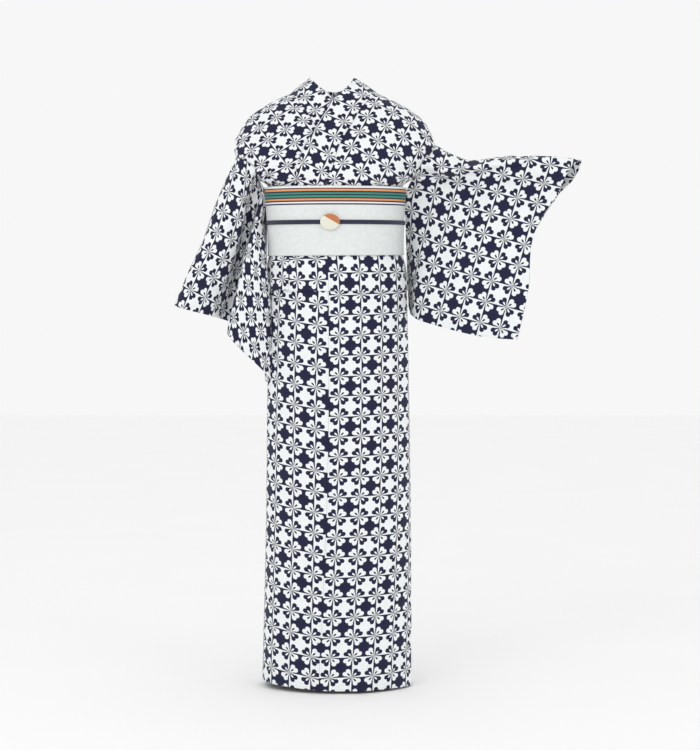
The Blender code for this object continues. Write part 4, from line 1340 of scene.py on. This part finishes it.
def add_sash_wrap():
    """The sash round the waist, with its outer end lying across the front."""
    turns = ring_turns(180)
    heights = np.linspace(SASH_HEIGHTS[0], SASH_HEIGHTS[1], 40)
    turn, height = np.meshgrid(turns, heights)
    step = 0.7 * ease((turn - SASH_END_TURN) / 1.2) * (1 - ease((turn - 150.0) / 20.0))
    ripple = 0.30 * np.sin(np.radians(3 * turn) + 40 * height) * np.sin(60 * height)
    points = on_body(turn, height, SASH_LAYER + step + ripple)
    length = running_length(points[20], 0)
    place = np.dstack([np.broadcast_to(length, turn.shape), SASH_HEIGHTS[0] - height])
    item = add_sheet("sash_wrap_cloth", "sash_wrap", points[::-1], place[::-1], SASH_THICKNESS,
                     sash_finish(), join=True)


def add_cord():
    """The flat braid over the sash: an oval section carried all the way round."""
    turns = ring_turns(180)
    bend = np.linspace(0, 2 * math.pi, 25)
    up = CORD_HEIGHT / 2 * np.sign(np.sin(bend)) * np.abs(np.sin(bend)) ** 0.6
    out = CORD_THICKNESS / 2 / MILLIMETRE * np.sign(np.cos(bend)) * np.abs(np.cos(bend)) ** 0.6
    turn = np.broadcast_to(turns[:, None], (len(turns), len(bend)))
    points = on_body(turn, CORD_MIDDLE + up[None, :], CORD_LAYER + out[None, :])
    length = running_length(points[:, 6], 0)
    place = np.dstack([np.broadcast_to(length[:, None], turn.shape),
                       np.broadcast_to(up + CORD_HEIGHT / 2, turn.shape)])
    mesh = grid_mesh("sash_cord_braid", points, place, facing=(0, 3, 2, 1))
    weld_ends(mesh)
    add_piece("sash_cord", mesh, cord_finish())


def add_clip():
    """The oval clip: a polished dome, rounded at its rim."""
    across, height = CLIP_CENTRE
    surface = float(on_body(-4.0, height, CLIP_LAYER)[1]) - 0.0003
    half = [size / 2 for size in CLIP_SIZE]
    place = Matrix.Translation((across, surface - half[1], height))
    shape = place @ Matrix.Diagonal((*half, 1.0)) @ Matrix.Rotation(math.pi / 2, 4, "X")
    dome = bmesh.new()
    bmesh.ops.create_uvsphere(dome, u_segments=72, v_segments=36, radius=1.0)
    for vertex in dome.verts:
        vertex.co.z = math.copysign(abs(vertex.co.z) ** 0.8, vertex.co.z)
    bmesh.ops.transform(dome, matrix=shape, verts=dome.verts)
    mesh = bpy.data.meshes.new("sash_clip_dome")
    dome.to_mesh(mesh)
    dome.free()
    points = np.array([tuple(vertex.co) for vertex in mesh.vertices])
    set_map(mesh, "cloth", points[:, [0, 2]] - np.array([across, height]))
    add_piece("sash_clip", mesh, clip_finish())


def add_light(name, place, size, power):
    """A large soft light, turned to the robe."""
    lamp = bpy.data.lights.new(name, "AREA")
    lamp.shape = "RECTANGLE"
    lamp.size, lamp.size_y = size
    lamp.energy = power
    item = bpy.data.objects.new(name, lamp)
    item.location = place
    item.rotation_euler = (Vector(place) - Vector(LIGHT_AIM)).to_track_quat("Z", "Y").to_euler()
    bpy.context.scene.collection.objects.link(item)


def add_floor(colour):
    """A wide pale floor just under the hem, faintly mottled."""
    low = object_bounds()[0]
    work = bmesh.new()
    bmesh.ops.create_grid(work, x_segments=2, y_segments=2, size=9.0)
    mesh = bpy.data.meshes.new("floor")
    work.to_mesh(mesh)
    work.free()
    made = bpy.data.materials.new("floor")
    made.use_nodes = True
    wires = Wires(made.node_tree)
    shader = made.node_tree.nodes["Principled BSDF"]
    place = wires.add("ShaderNodeTexCoord").outputs["Object"]
    mottle = wires.noise(place, 3.0, 3.0)
    pale = [min(1.0, 1.03 * part) for part in colour]
    wires.join(wires.blend(mottle, (*colour, 1.0), (*pale, 1.0)), shader.inputs["Base Color"])
    shader.inputs["Roughness"].default_value = 0.9
    mesh.materials.append(made)
    item = bpy.data.objects.new("floor", mesh)
    item.location = (0.0, 0.0, low.z - 0.0015)
    bpy.context.scene.collection.objects.link(item)
    item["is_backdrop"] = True


class ROBE_OT_bodice(bpy.types.Operator):
    """Make the cloth above the waist, from the sash over the shoulders, with its tuck"""

    bl_idname = "robe.bodice"
    bl_label = "Bodice"

    def execute(self, context):
        back = len(COLLAR_RIGHT_ROWS)
        left_seam = collar_seam(back + 8, back, 1)
        arm, top = shoulder_edges(left_seam, (4.6, 4.6, 4.6, 4.6, 4.6, 3.2, 0.9, 0.7, 0.7), ARMHOLE_LEFT, 1)
        add_bodice("bodice_left", BODICE_LEFT_FRONT, arm, top, ARMHOLE_LEFT, 1, True)
        right_seam = collar_seam(2, back, -1)
        arm, top = shoulder_edges(right_seam, (BODY_LAYER,) * 9, ARMHOLE_RIGHT, -1)
        add_bodice("bodice_right", BODICE_RIGHT_FRONT, arm, top, ARMHOLE_RIGHT, -1, False)
        add_overlap_left_upper()
        add_overlap_right_upper()
        return {"FINISHED"}


class ROBE_OT_collar(bpy.types.Operator):
    """Make the collar strip, left over right"""

    bl_idname = "robe.collar"
    bl_label = "Collar"

    def execute(self, context):
        add_collar()
        return {"FINISHED"}


class ROBE_OT_skirt(bpy.types.Operator):
    """Make the lengths of cloth below the waist"""

    bl_idname = "robe.skirt"
    bl_label = "Skirt"

    def execute(self, context):
        panels = (
            ("skirt_back_left", (90, 90, 90), (180, 180, 180), (0.7, 0.7), 180.0),
            ("skirt_back_right", (180, 180, 180), (262, 262, 262), (0.7, 0.7), 180.0),
            ("skirt_front_left", (-7.2, -7.2, -13.6), (90, 90, 90), (0.7, 0.7), 0.0),
            ("overlap_left", (-87, -87, -87), (-7.2, -7.2, -13.6), (0.7, 0.7), 0.0),
            ("overlap_right", (7, 7, 9), (76, 78, 82), (-2.5, -2.5), 0.0),
        )
        for name, near, far, layers, base in panels:
            add_skirt_panel(name, near, far, layers, base)
        add_skirt_panel("skirt_front_right", (-98, -98, -98), (7, 7, 9), (0.7, -2.5), 0.0, 1.7, early)
        return {"FINISHED"}


class ROBE_OT_sleeves(bpy.types.Operator):
    """Make the raised left sleeve and the hanging right one"""

    bl_idname = "robe.sleeves"
    bl_label = "Sleeves"

    def execute(self, context):
        add_sleeve("sleeve_left", RAISED_FOLDS, ARMHOLE_LEFT, 1, raised_roll, RAISED_CREASES)
        add_sleeve("sleeve_right", HANGING_FOLDS, ARMHOLE_RIGHT, -1, no_roll, HANGING_CREASES)
        return {"FINISHED"}


class ROBE_OT_sash(bpy.types.Operator):
    """Make the sash and its flat tie behind"""

    bl_idname = "robe.sash"
    bl_label = "Sash"

    def execute(self, context):
        add_sash_wrap()
        bands = (
            ("sash_end_narrow", 15.6, (166, -0.292), (184, -0.308), (140, -0.206), (158, -0.192)),
            ("sash_end_wide", 19.1, (196, -0.292), (172, -0.312), (226, -0.206), (200, -0.190)),
            ("sash_knot", 22.7, (167, -0.262), (189, -0.300), (172, -0.205), (194, -0.243)),
        )
        for name, layer, low_near, low_far, high_near, high_far in bands:
            near = ((*low_near, layer), (*high_near, layer))
            far = ((*low_far, layer), (*high_far, layer))
            add_band(name + "_cloth", name, near, far, sash_finish(), SASH_THICKNESS)
        return {"FINISHED"}


class ROBE_OT_cord(bpy.types.Operator):
    """Make the braided cord over the sash and the oval clip on it"""

    bl_idname = "robe.cord"
    bl_label = "Cord and clip"

    def execute(self, context):
        add_cord()
        add_clip()
        return {"FINISHED"}


class ROBE_OT_stage(bpy.types.Operator):
    """Make the floor, the soft lights and the camera"""

    bl_idname = "robe.stage"
    bl_label = "Stage"

    def execute(self, context):
        scene = context.scene
        stage = scene.robe_stage
        add_floor(stage.floor)
        world = bpy.data.worlds.new("studio")
        world.use_nodes = True
        world.node_tree.nodes["Background"].inputs["Color"].default_value = (1.0, 1.0, 1.0, 1.0)
        world.node_tree.nodes["Background"].inputs["Strength"].default_value = stage.ambient
        scene.world = world
        for name, place, size, share in LIGHTS:
            add_light(name, place, size, share * stage.key)
        lens = bpy.data.cameras.new("camera")
        lens.lens = stage.lens
        camera = bpy.data.objects.new("camera", lens)
        camera.location = CAMERA_PLACE
        camera.rotation_euler = (math.radians(90.0 - CAMERA_DOWN), 0.0, 0.0)
        scene.collection.objects.link(camera)
        scene.camera = camera
        scene.view_settings.view_transform = "Standard"
        return {"FINISHED"}


OPERATORS = (
    ROBE_OT_collar,
    ROBE_OT_bodice,
    ROBE_OT_skirt,
    ROBE_OT_sleeves,
    ROBE_OT_sash,
    ROBE_OT_cord,
    ROBE_OT_stage,
)


class ROBE_PT_panel(bpy.types.Panel):
    """The robe's settings and its pieces, in the 3D view's sidebar"""

    bl_idname = "ROBE_PT_panel"
    bl_label = "Robe"
    bl_space_type = "VIEW_3D"
    bl_region_type = "UI"
    bl_category = "Robe"

    def draw(self, context):
        for group in (context.scene.robe_cloth, context.scene.robe_sash, context.scene.robe_stage):
            box = self.layout.box()
            for name in group.__annotations__:
                box.prop(group, name)
        for operator in OPERATORS:
            self.layout.operator(operator.bl_idname)


SETTINGS = (RobeCloth, RobeSash, RobeStage)


def register():
    for item in SETTINGS + OPERATORS + (ROBE_PT_panel,):
        bpy.utils.register_class(item)
    bpy.types.Scene.robe_cloth = PointerProperty(type=RobeCloth)
    bpy.types.Scene.robe_sash = PointerProperty(type=RobeSash)
    bpy.types.Scene.robe_stage = PointerProperty(type=RobeStage)


def unregister():
    del bpy.types.Scene.robe_stage
    del bpy.types.Scene.robe_sash
    del bpy.types.Scene.robe_cloth
    for item in reversed(SETTINGS + OPERATORS + (ROBE_PT_panel,)):
        bpy.utils.unregister_class(item)


def main():
    """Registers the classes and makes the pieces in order."""
    register()
    bpy.ops.robe.collar()
    bpy.ops.robe.bodice()
    bpy.ops.robe.skirt()
    bpy.ops.robe.sleeves()
    bpy.ops.robe.sash()
    bpy.ops.robe.cord()
    bpy.ops.robe.stage()


if __name__ == "__main__":
    main()
